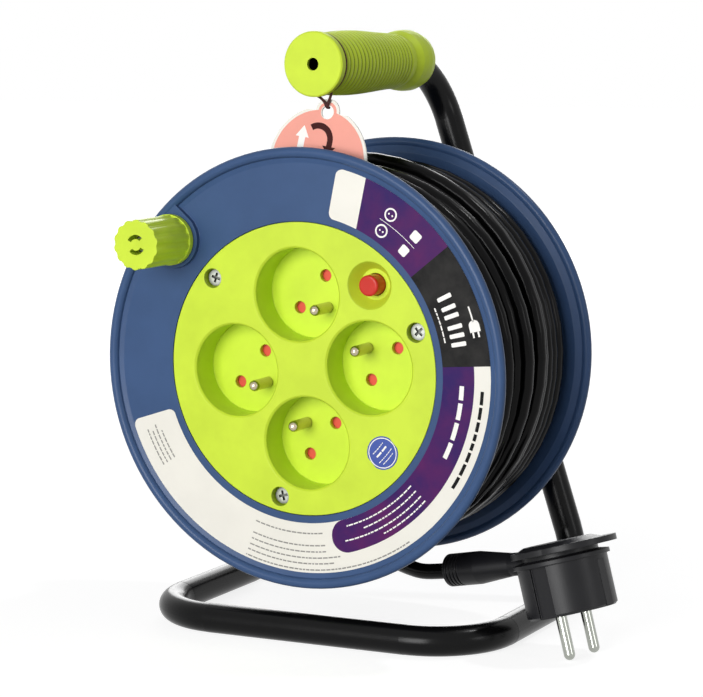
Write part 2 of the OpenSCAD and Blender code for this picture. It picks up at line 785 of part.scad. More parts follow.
// How far the lead runs past the clamp towards the middle
lead_in = 9;
clamp_screw_v = 7;

// Middle of the outer layer at a number of degrees after its start, in the reel's frame
function turn_point(a) =
    [turn_r * cos(winding_end_angle + a), turn_r * sin(winding_end_angle + a),
     -winding_front - pitch * a / 360];
function turn_heading(a) = [-sin(winding_end_angle + a), cos(winding_end_angle + a), 0];

winding_steps = outer_turns * turn_rings;
winding_centres = concat(
    [turn_point(0) - cable_d * turn_heading(0)],
    [for (i = [0 : winding_steps]) turn_point(360 * i / turn_rings)],
    [turn_point(360 * outer_turns) + cable_d * turn_heading(360 * outer_turns)]
);
winding_angles = concat([0], [for (i = [0 : winding_steps]) 360 * i / turn_rings], [360 * outer_turns]);
winding_gap = min([for (i = [1 : len(winding_centres) - turn_rings - 2]) for (k = [-2 : 2])
    norm(winding_centres[i + turn_rings + min(k, 1)] - winding_centres[i])]) - cable_d;
echo(least_gap_between_turns = winding_gap);

module cable_winding() {
    sides = 6;
    rings = [for (i = [0 : len(winding_centres) - 1])
        let (a = winding_end_angle + winding_angles[i])
        ring(winding_centres[i], [cos(a), sin(a), 0], [0, 0, 1], cable_r, sides)];
    color("#202022") reel()
        polyhedron(points = [for (q = rings) each q], faces = tube_faces(len(rings), sides));
}

module cable_core() {
    start = winding_centres[0];
    color("#202022") reel() union() {
        difference() {
            disc(core_r, lane, rear_web);
            disc(barrel_r, lane - 1, rear_web + 1);
        }
        // The lead climbs out of the lower layers here
        translate([start[0], start[1], start[2]]) rotate(winding_end_angle) translate([-climb_r, 0, 0])
            rotate(-34) rotate_extrude(angle = 34) translate([climb_r, 0]) circle(r = cable_r);
    }
}

module inner_lead() {
    color("#202022") reel() clamp_place() translate([-lead_in, 0, -clamp_depth]) rotate([0, 90, 0])
        cylinder(r = cable_r, h = lead_in + barrel_r - clamp_r);
}

module cord_clamp() {
    color("#e8e6df") reel() clamp_place() difference() {
        block([0, 0], [8, 20], clamp_depth - cable_r - 2, clamp_depth + cable_r - 0.4);
        translate([-6, 0, -clamp_depth]) rotate([0, 90, 0]) cylinder(r = cable_r, h = 12);
        block([0, 0], [10, 2 * cable_r], clamp_depth, clamp_depth + cable_r + 1);
        for (s = [-1, 1]) translate([0, s * clamp_screw_v, 0])
            disc(1.6, clamp_depth - 10, clamp_depth + 10);
    }
}

module clamp_screws() {
    color("silver") reel() clamp_place() for (s = [-1, 1])
        translate([0, s * clamp_screw_v, cable_r + 2 - clamp_depth])
            screw(2.6, 1.6, 1.45, rear_web - clamp_depth + cable_r - 4.75);
}

// Middles of the three cores inside the drum, in the outlets' turned frame, chosen by hand
live_route = [[-40, 13.8, -78.4], [-34, 14, -76], [-22, 20, -66], [0, 28, -56], [24, 24, -52],
    [42, 13, -53], [48.5, 6, -51], [48.5, 6, -46.1]];
link_route = [[48.5, -6, -46.1], [48.5, -6, -49.5], [44, -4, -52.5], [39, 1, -52], [36.4, 5, -48.5],
    [36.4, 5, -44.7]];
neutral_route = [[-40.6, 12.7, -80.8], [-33, 9, -78], [-30, 4, -68], [-34, -2, -56], [-36.4, -5, -48],
    [-36.4, -5, -44.7]];
earth_route = [[-39.9, 15, -80.8], [-33, 15, -80], [-22, 17, -72], [-12, 14, -60], [-3, 5, -52],
    [0, 0, -49.5], [0, 0, -45.7]];

module core_wires() {
    wire_r = 1.2;
    outlets() {
        color("saddlebrown") swept(smooth_route(live_route, 2), wire_r, 8, [0.2, 1, 0.3]);
        color("saddlebrown") swept(smooth_route(link_route, 2), wire_r, 8, [1, 0.9, 0]);
        color("blue") swept(smooth_route(neutral_route, 2), wire_r, 8, [0.9, 0.1, 0.3]);
        color("green") swept(smooth_route(earth_route, 2), wire_r, 8, [0.2, 1, 0.3]);
    }
}

// ---------- Free end and plug ----------

module at_plug() { translate(plug_pos) rotate(plug_turn) children(); }

function turned_point(v, t) =
    let (a = [v[0], v[1] * cos(t[0]) - v[2] * sin(t[0]), v[1] * sin(t[0]) + v[2] * cos(t[0])])
    let (b = [a[0] * cos(t[1]) + a[2] * sin(t[1]), a[1], -a[0] * sin(t[1]) + a[2] * cos(t[1])])
    [b[0] * cos(t[2]) - b[1] * sin(t[2]), b[0] * sin(t[2]) + b[1] * cos(t[2]), b[2]];
function plug_point(v) = plug_pos + turned_point(v, plug_turn);

module at_arm() { translate([-plug_arm, 0, arm_z]) rotate([0, 90 + arm_droop, 0]) children(); }

entry = plug_point([-plug_arm, 0, arm_z]);
before_entry = [-plug_arm - cable_d * cos(arm_droop), 0, arm_z + cable_d * sin(arm_droop)];
tail_route = concat(tail_points, [plug_point(before_entry), entry]);
echo(tail_end = tail_route[len(tail_points)], plug_entry = entry);

module cable_tail() {
    color("#202022") swept(smooth_route(tail_route, 3), cable_r, 10, [0, 1, 0.1]);
}

module plug_body() {
    collar_r = plug_r + 1.4;
    lip_reach = 5.5;
    saucer_z = plug_h + 4.5;
    arm_r = 7.2;
    neck_r = 5;
    color("#1a1a1c") at_plug() difference() {
        union() {
            rotate_extrude() polygon([[0, 0], [plug_r - 1, 0], [plug_r, 1], [plug_r, plug_h],
                [collar_r, plug_h], [collar_r, plug_h + 1.8], [plug_r - 3, plug_h + 2.6],
                [plug_r - 3, saucer_z], [0, saucer_z]]);
            // The saucer on top, longer on the side away from the lead
            translate([0, 0, saucer_z]) {
                cylinder(r = collar_r, h = 2.6);
                translate([lip_reach, 0, 0]) cylinder(r = collar_r - 0.6, h = 2.6);
                translate([0, 0, 2.5]) cylinder(r1 = collar_r - 2, r2 = collar_r - 6, h = 1.7);
            }
            // The lead's arm: a thick sleeve that narrows to a neck
            at_arm() {
                cylinder(r = arm_r, h = 16);
                translate([0, 0, 16]) cylinder(r1 = arm_r, r2 = neck_r, h = 17);
                translate([0, 0, 33]) cylinder(r = neck_r, h = 10);
            }
        }
        for (i = [0 : 3]) at_arm() translate([0, 0, 1.6 + 1.8 * i])
            difference() {
                cylinder(r = arm_r + 1, h = 0.8);
                translate([0, 0, -1]) cylinder(r = arm_r - 0.7, h = 3);
            }
        for (d = [-1, 1]) {
            translate([0, d * pin_pitch / 2, -1]) cylinder(r = foot_r, h = 11);
            // Guide grooves beside the pins and slots for the earth clips
            translate([-4, d * (plug_r + 1) - 2.5, -1]) cube([8, 5, plug_h + 1]);
            translate([d * (plug_r - 0.5) - 0.5, -2.5, -1]) cube([1, 5, plug_h - 1]);
            translate([d * plug_r - 0.01, -3.5, -1]) translate([d > 0 ? 0 : -2, 0, 0])
                cube([2, 7, plug_h - 1]);
        }
        translate([-earth_offset, 0, -1]) cylinder(r = pin_r + 0.3, h = 17);
    }
}

module plug_pins() {
    color("silver") at_plug() for (d = [-1, 1]) translate([0, d * pin_pitch / 2, 0]) {
        rotate_extrude() polygon([[0, 10], [foot_r, 10], [foot_r, -foot_rise], [pin_r, -foot_rise],
            [pin_r, pin_r - plug_pin_len], [0, pin_r - plug_pin_len]]);
        translate([0, 0, pin_r - plug_pin_len]) sphere(r = pin_r);
    }
}

module plug_earth_clips() {
    color("#c8a24a") at_plug() for (d = [-1, 1])
        translate([d * (plug_r - 0.5) - 0.5, -2.5, 0.5]) cube([1, 5, plug_h - 2.5]);
}

// ---------- Tag ----------

neck_mid = grip_disc_t + 1.2;
string_r = 0.6;
ring_r = grip_disc_r - 1.5 + string_r + 0.05;
lug_r = 5.7;
hole_to_disc = 21.3;
tag_len = 36.5;
tag_drop = 20.4;
tag_hole_z = axis_h + grip_rise - tag_drop;
pin_up = tag_hole_r - 0.3 - string_r;
// The link reaches from the hole's upper edge into the ring round the grip's neck
link_r = (tag_drop - pin_up * cos(tag_lean) - sqrt(ring_r ^ 2 - tag_shift ^ 2) - 1.5 * string_r) / 2;
tag_hole_y = front_y + grip_front + neck_mid - (link_r + pin_up) * sin(tag_lean);

module at_tag() {
    translate([grip_x + tag_shift, tag_hole_y, tag_hole_z]) rotate([90 - tag_lean, 0, 0])
        rotate(-tag_tilt) children();
}

module hang_tag() {
    color("#f2a093") at_tag() translate([0, 0, -tag_t / 2]) linear_extrude(tag_t) difference() {
        union() {
            circle(r = lug_r);
            translate([-lug_r, -6]) square([2 * lug_r, 6]);
            // A round card, cut straight below so that it swings clear of the barrel
            intersection() {
                translate([0, -hole_to_disc]) circle(r = tag_r);
                translate([-tag_r, -tag_len]) square([2 * tag_r, tag_len]);
            }
        }
        circle(r = tag_hole_r);
    }
}

module tag_string() {
    link_z = tag_hole_z + pin_up * cos(tag_lean) + link_r;
    color("#3a1512") {
        translate([grip_x, front_y + grip_front + neck_mid, axis_h + grip_rise]) rotate([90, 0, 0])
            rotate_extrude() translate([ring_r, 0]) circle(r = string_r);
        translate([grip_x + tag_shift, front_y + grip_front + neck_mid, link_z]) rotate([0, 90, 0])
            rotate_extrude() translate([link_r, 0]) circle(r = string_r);
    }
}

frame_tube();
handle_grip();
axle_insert();
axle_collar();
axle_washer();
axle_screw();
front_flange();
rear_flange();
axle_bush();
socket_plate();
well_top();
well_left();
well_right();
well_bottom();
plate_screws();
contact_carrier();
carrier_screws();
live_contacts();
neutral_contacts();
earth_pins();
earth_plate();
cutout_body();
cutout_terminals();
reset_button();
shutter_top();
shutter_left();
shutter_right();
shutter_bottom();
knob_stem();
crank_knob();
flange_label();
plate_sticker();
cable_core();
cable_winding();
inner_lead();
core_wires();
cord_clamp();
clamp_screws();
cable_tail();
plug_body();
plug_pins();
plug_earth_clips();
hang_tag();
tag_string();
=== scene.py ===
"""Extension cord reel: looks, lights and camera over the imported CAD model.

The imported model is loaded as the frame. Every visible piece here rides on the CAD body it belongs
to, in metres and in the CAD frame: the floor is z = 0, the reel's axis runs along Y at z = 0.12 and
the sockets face -Y. The classes hold their sizes as fields, in millimetres and degrees unless a
comment says otherwise. A place on the reel is told by its distance from the axis, its angle and its
depth behind the front flange's rim.
"""

import logging
import math
from dataclasses import dataclass, field
from enum import Enum
from typing import Sequence

import bmesh
import bpy
from bmesh.types import BMesh, BMVert
from bpy.types import Material, Node, NodeSocket, NodeTree, Object
from mathutils import Matrix, Vector


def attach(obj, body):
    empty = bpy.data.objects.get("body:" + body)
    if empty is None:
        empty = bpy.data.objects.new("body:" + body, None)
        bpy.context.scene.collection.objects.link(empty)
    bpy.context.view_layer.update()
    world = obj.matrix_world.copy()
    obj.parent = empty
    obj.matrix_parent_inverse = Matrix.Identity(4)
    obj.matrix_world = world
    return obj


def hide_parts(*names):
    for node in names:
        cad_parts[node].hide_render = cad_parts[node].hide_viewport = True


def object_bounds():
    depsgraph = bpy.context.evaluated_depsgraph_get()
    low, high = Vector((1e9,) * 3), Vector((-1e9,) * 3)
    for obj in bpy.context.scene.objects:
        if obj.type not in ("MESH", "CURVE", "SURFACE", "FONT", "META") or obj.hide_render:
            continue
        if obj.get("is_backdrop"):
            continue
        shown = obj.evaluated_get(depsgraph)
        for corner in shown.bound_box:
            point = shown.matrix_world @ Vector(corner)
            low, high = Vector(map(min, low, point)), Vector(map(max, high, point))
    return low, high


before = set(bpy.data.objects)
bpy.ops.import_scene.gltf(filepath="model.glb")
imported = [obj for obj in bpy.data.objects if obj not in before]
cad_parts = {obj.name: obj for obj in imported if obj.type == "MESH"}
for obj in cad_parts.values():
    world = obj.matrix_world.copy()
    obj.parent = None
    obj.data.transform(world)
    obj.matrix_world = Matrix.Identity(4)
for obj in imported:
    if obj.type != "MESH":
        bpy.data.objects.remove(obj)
LOG = logging.getLogger("cord_reel")

Point = tuple[float, float, float]
Pair = tuple[float, float]

MM = 0.001
# Place of the front flange's rim on Y, and height of the reel's axis
RIM_Y = -54.3 * MM
AXIS_Z = 120 * MM
# Thickness of the supply lead
CABLE_D = 6.9 * MM

# Painted shade in hollows: how far it looks for open sky, and the shares that count as closed and
# open
CREASE_REACH = 3.0 * MM
CREASE_CLOSED = 0.5
CREASE_OPEN = 0.88
# Span of the slow noise over which one colour drifts into the other
DRIFT_FROM = 0.35
DRIFT_TO = 0.65
# How far the roughness wanders below and above its mean
ROUGH_BELOW = 0.06
ROUGH_ABOVE = 0.08
# Rays for each painted shade of a hollow and for each softened edge
CREASE_SAMPLES = 8
EDGE_SAMPLES = 6
# Degrees in a radian, rounded, for the lengths of printed dashes
DASH_DEGREES = 57.3


class Colour(Enum):
    """The object's plain colours."""

    LIME = "#cbe43a"
    LIME_SOFT = "#cde53c"
    BLUE = "#3b547c"
    BLACK_COAT = "#0a0a0b"
    BLACK_PVC = "#0b0b0c"
    BLACK_PLUG = "#141417"
    DARK_PLASTIC = "#1d1d1f"
    RED = "#c9291c"
    RED_SHUTTER = "#d94a30"
    ZINC = "#a8aba4"
    BRASS = "#c9a95c"
    NICKEL = "#b9ae94"
    NYLON = "#e6e3d8"
    PAPER = "#ece9df"
    PURPLE = "#352061"
    MAGENTA = "#581f5a"
    INK = "#0e0e0f"
    SMOKE = "#272625"
    STICKER = "#2f4a9e"
    SALMON = "#ec9a89"
    MAROON = "#3a0f0d"
    WHITE = "#f6f4ef"
    GREY_INK = "#8b8984"
    BROWN = "#6b3a1c"


@dataclass(frozen=True)
class Finish:
    """How a real material looks.

    Args:
        title: The material's name.
        colour: Its plain colour.
        roughness: Mean roughness of its surface.
        metallic: 1 for bare metal, 0 for everything else.
        grain_mm: Size of the finest surface pattern.
        grain_um: Height of that pattern in micrometres.
        mottle: How far the colour wanders, as a share.
        edge_mm: Radius that sharp edges are softened to in shading.
        specular: Strength of the reflection of plain dielectrics, 0.5 for common plastics.
        clouds: A second colour that the first one drifts into, if any.
        crease_shade: How much painted shade darkens its narrow hollows.
        cloud_mm: Size of those drifts and of the slow changes in roughness.
    """

    title: str
    colour: Colour
    roughness: float
    metallic: float = 0.0
    grain_mm: float = 0.5
    grain_um: float = 12.0
    mottle: float = 0.05
    edge_mm: float = 0.35
    specular: float = 0.5
    clouds: Colour | None = None
    crease_shade: float = 0.0
    cloud_mm: float = 22.0


class Finishes:
    """Every finish that the reel uses.

    The grain of moulded plastic is drawn coarser than it really is, at 0.35 to 0.7 mm, to show.
    """

    # Injection moulded in a smooth tool: a wide, half dull shine over the plate
    LIME = Finish(
        "moulded lime polypropylene", Colour.LIME, 0.38, grain_um=7, edge_mm=0.5, specular=0.3
    )
    # Elastomer moulded as a ribbed sleeve: light on the crests only, and painted shade in the
    # grooves
    GRIP = Finish(
        "soft lime elastomer", Colour.LIME_SOFT, 0.5, grain_mm=0.35, grain_um=14, edge_mm=0.15,
        specular=0.25, crease_shade=0.8,
    )
    # Injection moulded in a polished tool: long soft highlights on the rolled rims
    BLUE = Finish(
        "moulded blue polypropylene", Colour.BLUE, 0.3, grain_mm=0.7, grain_um=9, edge_mm=0.6,
        specular=0.18,
    )
    # Powder baked on, which levels to a faint orange peel: highlights waver along the tube
    COAT = Finish(
        "black powder coat", Colour.BLACK_COAT, 0.22, grain_mm=0.9, grain_um=12, specular=0.14
    )
    # Extruded through a polished die: a thin bright line along each turn
    PVC = Finish(
        "black PVC sheath", Colour.BLACK_PVC, 0.18, grain_mm=1.4, grain_um=8, edge_mm=0,
        specular=0.1,
    )
    # Moulded onto the lead in an eroded tool: greyer and duller than the sheath
    PLUG = Finish(
        "moulded black PVC", Colour.BLACK_PLUG, 0.38, grain_mm=0.4, grain_um=10, edge_mm=0.5,
        specular=0.25,
    )
    # Moulded and left as it comes, inside the drum: a plain dark grey
    DARK = Finish("dark insulating plastic", Colour.DARK_PLASTIC, 0.45)
    # Moulded in a polished tool: a small clear highlight on the button
    RED = Finish("moulded red polyamide", Colour.RED, 0.28, grain_um=5, edge_mm=0.4, specular=0.3)
    # Moulded and unpolished, deep in the holes: a flat red
    SHUTTER = Finish("red shutter polyamide", Colour.RED_SHUTTER, 0.5)
    # Cold headed and zinc plated: a pale spread glint, with painted shade in the cross recess
    ZINC = Finish(
        "zinc plated steel", Colour.ZINC, 0.42, metallic=1, grain_mm=0.25, grain_um=5,
        edge_mm=0.2, crease_shade=0.7,
    )
    # Rolled and stamped strip: a warm shine in the depth of an open hole
    BRASS = Finish(
        "drawn brass", Colour.BRASS, 0.25, metallic=1, grain_mm=0.3, grain_um=4, edge_mm=0.2
    )
    # Turned and nickel plated: a small bright spot on the pin's round end
    NICKEL = Finish(
        "nickel plated brass", Colour.NICKEL, 0.2, metallic=1, grain_mm=0.3, grain_um=4,
        edge_mm=0.3,
    )
    # Turned, polished and plated: mirrors what stands round it
    CHROME = Finish(
        "bright plated pin", Colour.ZINC, 0.16, metallic=1, grain_mm=0.3, grain_um=1, edge_mm=0
    )
    # Rolled spring strip, unplated: a dark and dull streak
    STEEL = Finish(
        "dull spring steel", Colour.DARK_PLASTIC, 0.4, metallic=0.6, grain_mm=0.3, grain_um=4
    )
    # Moulded undyed: a milky white
    NYLON = Finish("natural nylon", Colour.NYLON, 0.5)
    # Coated film or card, smooth: an even pale field with a faint wavy sheen
    PAPER = Finish(
        "white film label", Colour.PAPER, 0.32, grain_mm=2.5, grain_um=10, mottle=0.02, edge_mm=0
    )
    # Printed under the laminate: purple that drifts into magenta
    PURPLE = Finish(
        "purple print", Colour.PURPLE, 0.3, grain_mm=3, grain_um=8, edge_mm=0, specular=0.1,
        clouds=Colour.MAGENTA, cloud_mm=26,
    )
    # Printed under the laminate: black with small brown grey clouds, so not flat
    FIELD = Finish(
        "black print", Colour.INK, 0.3, grain_mm=3, grain_um=8, edge_mm=0, specular=0.1,
        clouds=Colour.SMOKE, cloud_mm=9,
    )
    # Printed lines: crisp black on the white film
    INK = Finish("black line print", Colour.INK, 0.32, grain_um=2, edge_mm=0, specular=0.1)
    # Printed in opaque white: the brightest marks on the label, the sticker and the tag
    WHITE = Finish("white print", Colour.WHITE, 0.35, grain_um=2, mottle=0.02, edge_mm=0)
    # Printed thin and small: reads as pale grey rows
    GREY = Finish("grey print", Colour.GREY_INK, 0.4, grain_um=2, edge_mm=0)
    # Printed vinyl, smooth: a clean blue with a slight shine
    STICKER = Finish("blue film sticker", Colour.STICKER, 0.3, grain_um=4, edge_mm=0)
    # Offset printed on coated card: a flat salmon with little shine
    CARD = Finish("salmon coated card", Colour.SALMON, 0.45, grain_um=6, mottle=0.03, edge_mm=0)
    # Offset printed over the card's colour: a dark, matt red
    MAROON = Finish("maroon print", Colour.MAROON, 0.4, grain_um=3, edge_mm=0, specular=0.1)
    # Braided round a rubber core: rough, without a highlight
    STRING = Finish("elastic cord", Colour.MAROON, 0.8, grain_mm=0.3, grain_um=60)
    # Extruded insulation, inside the drum: a plain brown
    CORE = Finish("wire insulation", Colour.BROWN, 0.4)


def linear_colour(colour: Colour) -> tuple[float, float, float, float]:
    """Turn a plain colour into linear light.

    Args:
        colour: A colour written as sRGB hex digits.

    Returns:
        Red, green, blue and an alpha of 1.
    """
    code = colour.value.lstrip("#")
    parts = [int(code[i : i + 2], 16) / 255 for i in (0, 2, 4)]
    red, green, blue = (p / 12.92 if p <= 0.04045 else ((p + 0.055) / 1.055) ** 2.4 for p in parts)
    return (red, green, blue, 1.0)


def add_node(tree: NodeTree, kind: str, **inputs) -> Node:
    """Add a shader node and set or link its inputs.

    Args:
        tree: The material's node tree.
        kind: The node's type without its "ShaderNode" prefix.
        inputs: Input names, spaces as underscores, to values or sockets.

    Returns:
        The new node.
    """
    node = tree.nodes.new("ShaderNode" + kind)
    for name, value in inputs.items():
        target = node.inputs[name.replace("_", " ")]
        if isinstance(value, NodeSocket):
            tree.links.new(value, target)
        else:
            target.default_value = value
    return node


def paint_crease_shade(tree: NodeTree, colour: NodeSocket, crease_shade: float) -> NodeSocket:
    """Paint shade into a colour in narrow hollows, from ambient occlusion.

    Args:
        tree: The material's node tree.
        colour: The plain colour.
        crease_shade: Share of the colour that the painted shade takes from the deepest hollow.

    Returns:
        The colour with its painted shade.
    """
    open_sky = add_node(tree, "AmbientOcclusion", Distance=CREASE_REACH)
    open_sky.samples = CREASE_SAMPLES
    keep = add_node(
        tree, "MapRange", Value=open_sky.outputs["AO"], From_Min=CREASE_CLOSED,
        From_Max=CREASE_OPEN, To_Min=1 - crease_shade, To_Max=1.0,
    )
    shade = add_node(tree, "VectorMath", Vector=colour)
    shade.operation = "SCALE"
    tree.links.new(keep.outputs["Result"], shade.inputs["Scale"])
    return shade.outputs["Vector"]


def make_material(finish: Finish) -> Material:
    """Build, or find, the material of a finish.

    Args:
        finish: The look to build.

    Returns:
        A material with its pattern in the object's own space.
    """
    found = bpy.data.materials.get(finish.title)
    if found:
        return found
    material = bpy.data.materials.new(finish.title)
    material.use_nodes = True
    tree = material.node_tree
    tree.nodes.clear()
    place = add_node(tree, "TexCoord").outputs["Object"]
    grain = add_node(tree, "TexNoise", Vector=place, Scale=1 / (finish.grain_mm * MM), Detail=3.0)
    cloud = add_node(
        tree, "TexNoise", Vector=place, Scale=1 / (finish.cloud_mm * MM), Detail=4.0, Roughness=0.6
    )
    base = linear_colour(finish.colour)
    other = linear_colour(finish.clouds or finish.colour)
    low = tuple(c * (1 - finish.mottle) for c in base[:3]) + (1.0,)
    high = tuple(min(1.0, c * (1 + finish.mottle)) for c in other[:3]) + (1.0,)
    drift = add_node(
        tree, "MapRange", Value=cloud.outputs["Fac"], From_Min=DRIFT_FROM, From_Max=DRIFT_TO
    )
    tint = add_node(tree, "Mix")
    tint.data_type = "RGBA"
    tree.links.new(drift.outputs["Result"], tint.inputs["Factor"])
    colour_in = [s for s in tint.inputs if s.type == "RGBA"]
    colour_in[0].default_value, colour_in[1].default_value = low, high
    colour_out = [s for s in tint.outputs if s.type == "RGBA"][0]
    # Painted shade: the colour is darker in narrow hollows
    if finish.crease_shade > 0:
        colour_out = paint_crease_shade(tree, colour_out, finish.crease_shade)
    rough = add_node(
        tree, "MapRange", Value=cloud.outputs["Fac"], To_Min=finish.roughness - ROUGH_BELOW,
        To_Max=finish.roughness + ROUGH_ABOVE,
    )
    surface = add_node(
        tree, "BsdfPrincipled", Base_Color=colour_out, Roughness=rough.outputs["Result"],
        Metallic=finish.metallic, Specular_IOR_Level=finish.specular,
    )
    bump = add_node(
        tree, "Bump", Height=grain.outputs["Fac"], Strength=1.0, Distance=finish.grain_um * 1e-6
    )
    if finish.edge_mm > 0:
        edge = add_node(tree, "Bevel", Radius=finish.edge_mm * MM)
        edge.samples = EDGE_SAMPLES
        tree.links.new(edge.outputs["Normal"], bump.inputs["Normal"])
    tree.links.new(bump.outputs["Normal"], surface.inputs["Normal"])
    add_node(tree, "OutputMaterial", Surface=surface.outputs[0])
    return material


def reel_point(radius: float, angle: float, depth: float) -> Point:
    """Find a place on the reel.

    Args:
        radius: Distance from the reel's axis in millimetres.
        angle: Degrees, anticlockwise from the right as seen from the sockets.
        depth: Millimetres behind the front flange's rim.

    Returns:
        The place in the CAD frame, in metres.
    """
    turn = math.radians(angle)
    return (radius * MM * math.cos(turn), RIM_Y + depth * MM, AXIS_Z + radius * MM * math.sin(turn))


def smooth_route(points: Sequence[Sequence[float]], steps: int) -> list[Vector]:
    """Draw a smooth curve through given points.

    Args:
        points: The points, in order.
        steps: New points for each stretch between two of them.

    Returns:
        The curve's points, both ends included.
    """
    p = [Vector(q) for q in points]
    last = len(p) - 1
    route = []
    for i in range(last):
        a, b, c, d = p[max(i - 1, 0)], p[i], p[i + 1], p[min(i + 2, last)]
        for k in range(steps):
            t = k / steps
            bend = 2 * a - 5 * b + 4 * c - d + t * (3 * (b - c) + d - a)
            route.append(b + 0.5 * t * (c - a + t * bend))
    return route + [p[last]]


def repaint(name: str, finish: Finish) -> None:
    """Give a CAD node that stays in view its real material.

    Args:
        name: The node's name.
        finish: Its look.
    """
    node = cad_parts[name]
    node.data.materials.clear()
    node.data.materials.append(make_material(finish))
    LOG.info("%s: %s", name, finish.title)


def dress(obj: Object, finish: Finish, body: str) -> Object:
    """Give a new piece its finish and the CAD body that it moves with.

    Args:
        obj: The new piece, in place in the CAD frame.
        finish: Its look.
        body: The CAD body's name.

    Returns:
        The same piece.
    """
    obj.data.materials.clear()
    obj.data.materials.append(make_material(finish))
    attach(obj, body)
    LOG.info("%s: %s, on %s", obj.name, finish.title, body)
    return obj


def mesh_object(name: str, mesh: BMesh) -> Object:
    """Turn a bmesh into an object at the origin, with flat faces.

    Args:
        name: The object's name.
        mesh: The geometry in the CAD frame, which is freed.

    Returns:
        The new object, linked to the scene.
    """
    bmesh.ops.recalc_face_normals(mesh, faces=mesh.faces[:])
    data = bpy.data.meshes.new(name)
    mesh.to_mesh(data)
    mesh.free()
    obj = bpy.data.objects.new(name, data)
    bpy.context.scene.collection.objects.link(obj)
    return obj


def cord_object(
    name: str, route: Sequence[Sequence[float]], radius: float, sides: int = 4
) -> Object:
    """Draw a round cord along a route.

    Args:
        name: The object's name.
        route: Points of its middle, in metres.
        radius: Its radius in metres.
        sides: Blender's bevel resolution; the tube has twice as many sides and four more.

    Returns:
        A curve object with capped ends.
    """
    data = bpy.data.curves.new(name, "CURVE")
    data.dimensions = "3D"
    data.bevel_depth = radius
    data.bevel_resolution = sides
    data.use_fill_caps = True
    line = data.splines.new("POLY")
    line.points.add(len(route) - 1)
    for target, point in zip(line.points, route):
        target.co = (*point, 1.0)
    line.use_smooth = True
    obj = bpy.data.objects.new(name, data)
    bpy.context.scene.collection.objects.link(obj)
    return obj


@dataclass(frozen=True)
class CadPieces:
    """The CAD nodes that stay in view, each with its real material."""

    looks: tuple[tuple[Finish, tuple[str, ...]], ...] = (
        (Finishes.COAT, ("frame_tube",)),
        (Finishes.GRIP, ("handle_grip",)),
        (Finishes.LIME, ("socket_plate", "well_top", "well_left", "well_right", "well_bottom")),
        (Finishes.LIME, ("crank_knob",)),
        (Finishes.BLUE, ("front_flange", "rear_flange")),
        (Finishes.DARK, ("axle_collar", "contact_carrier", "cutout_body")),
        (Finishes.RED, ("reset_button",)),
        (Finishes.SHUTTER, ("shutter_top", "shutter_left", "shutter_right", "shutter_bottom")),
        (Finishes.ZINC, ("axle_insert", "axle_washer", "axle_screw", "plate_screws")),
        (Finishes.ZINC, ("carrier_screws", "cutout_terminals", "knob_stem", "clamp_screws")),
        (Finishes.BRASS, ("live_contacts", "neutral_contacts", "earth_plate")),
        (Finishes.NICKEL, ("earth_pins",)),
        (Finishes.CHROME, ("plug_pins",)),
        (Finishes.STEEL, ("plug_earth_clips",)),
        (Finishes.NYLON, ("axle_bush", "cord_clamp")),
        (Finishes.PLUG, ("plug_body",)),
        (Finishes.PVC, ("inner_lead",)),
        (Finishes.CORE, ("core_wires",)),
        (Finishes.STICKER, ("plate_sticker",)),
    )

    def build(self) -> None:
        """Repaint every CAD node that stays in view."""
        for finish, nodes in self.looks:
            for name in nodes:
                repaint(name, finish)


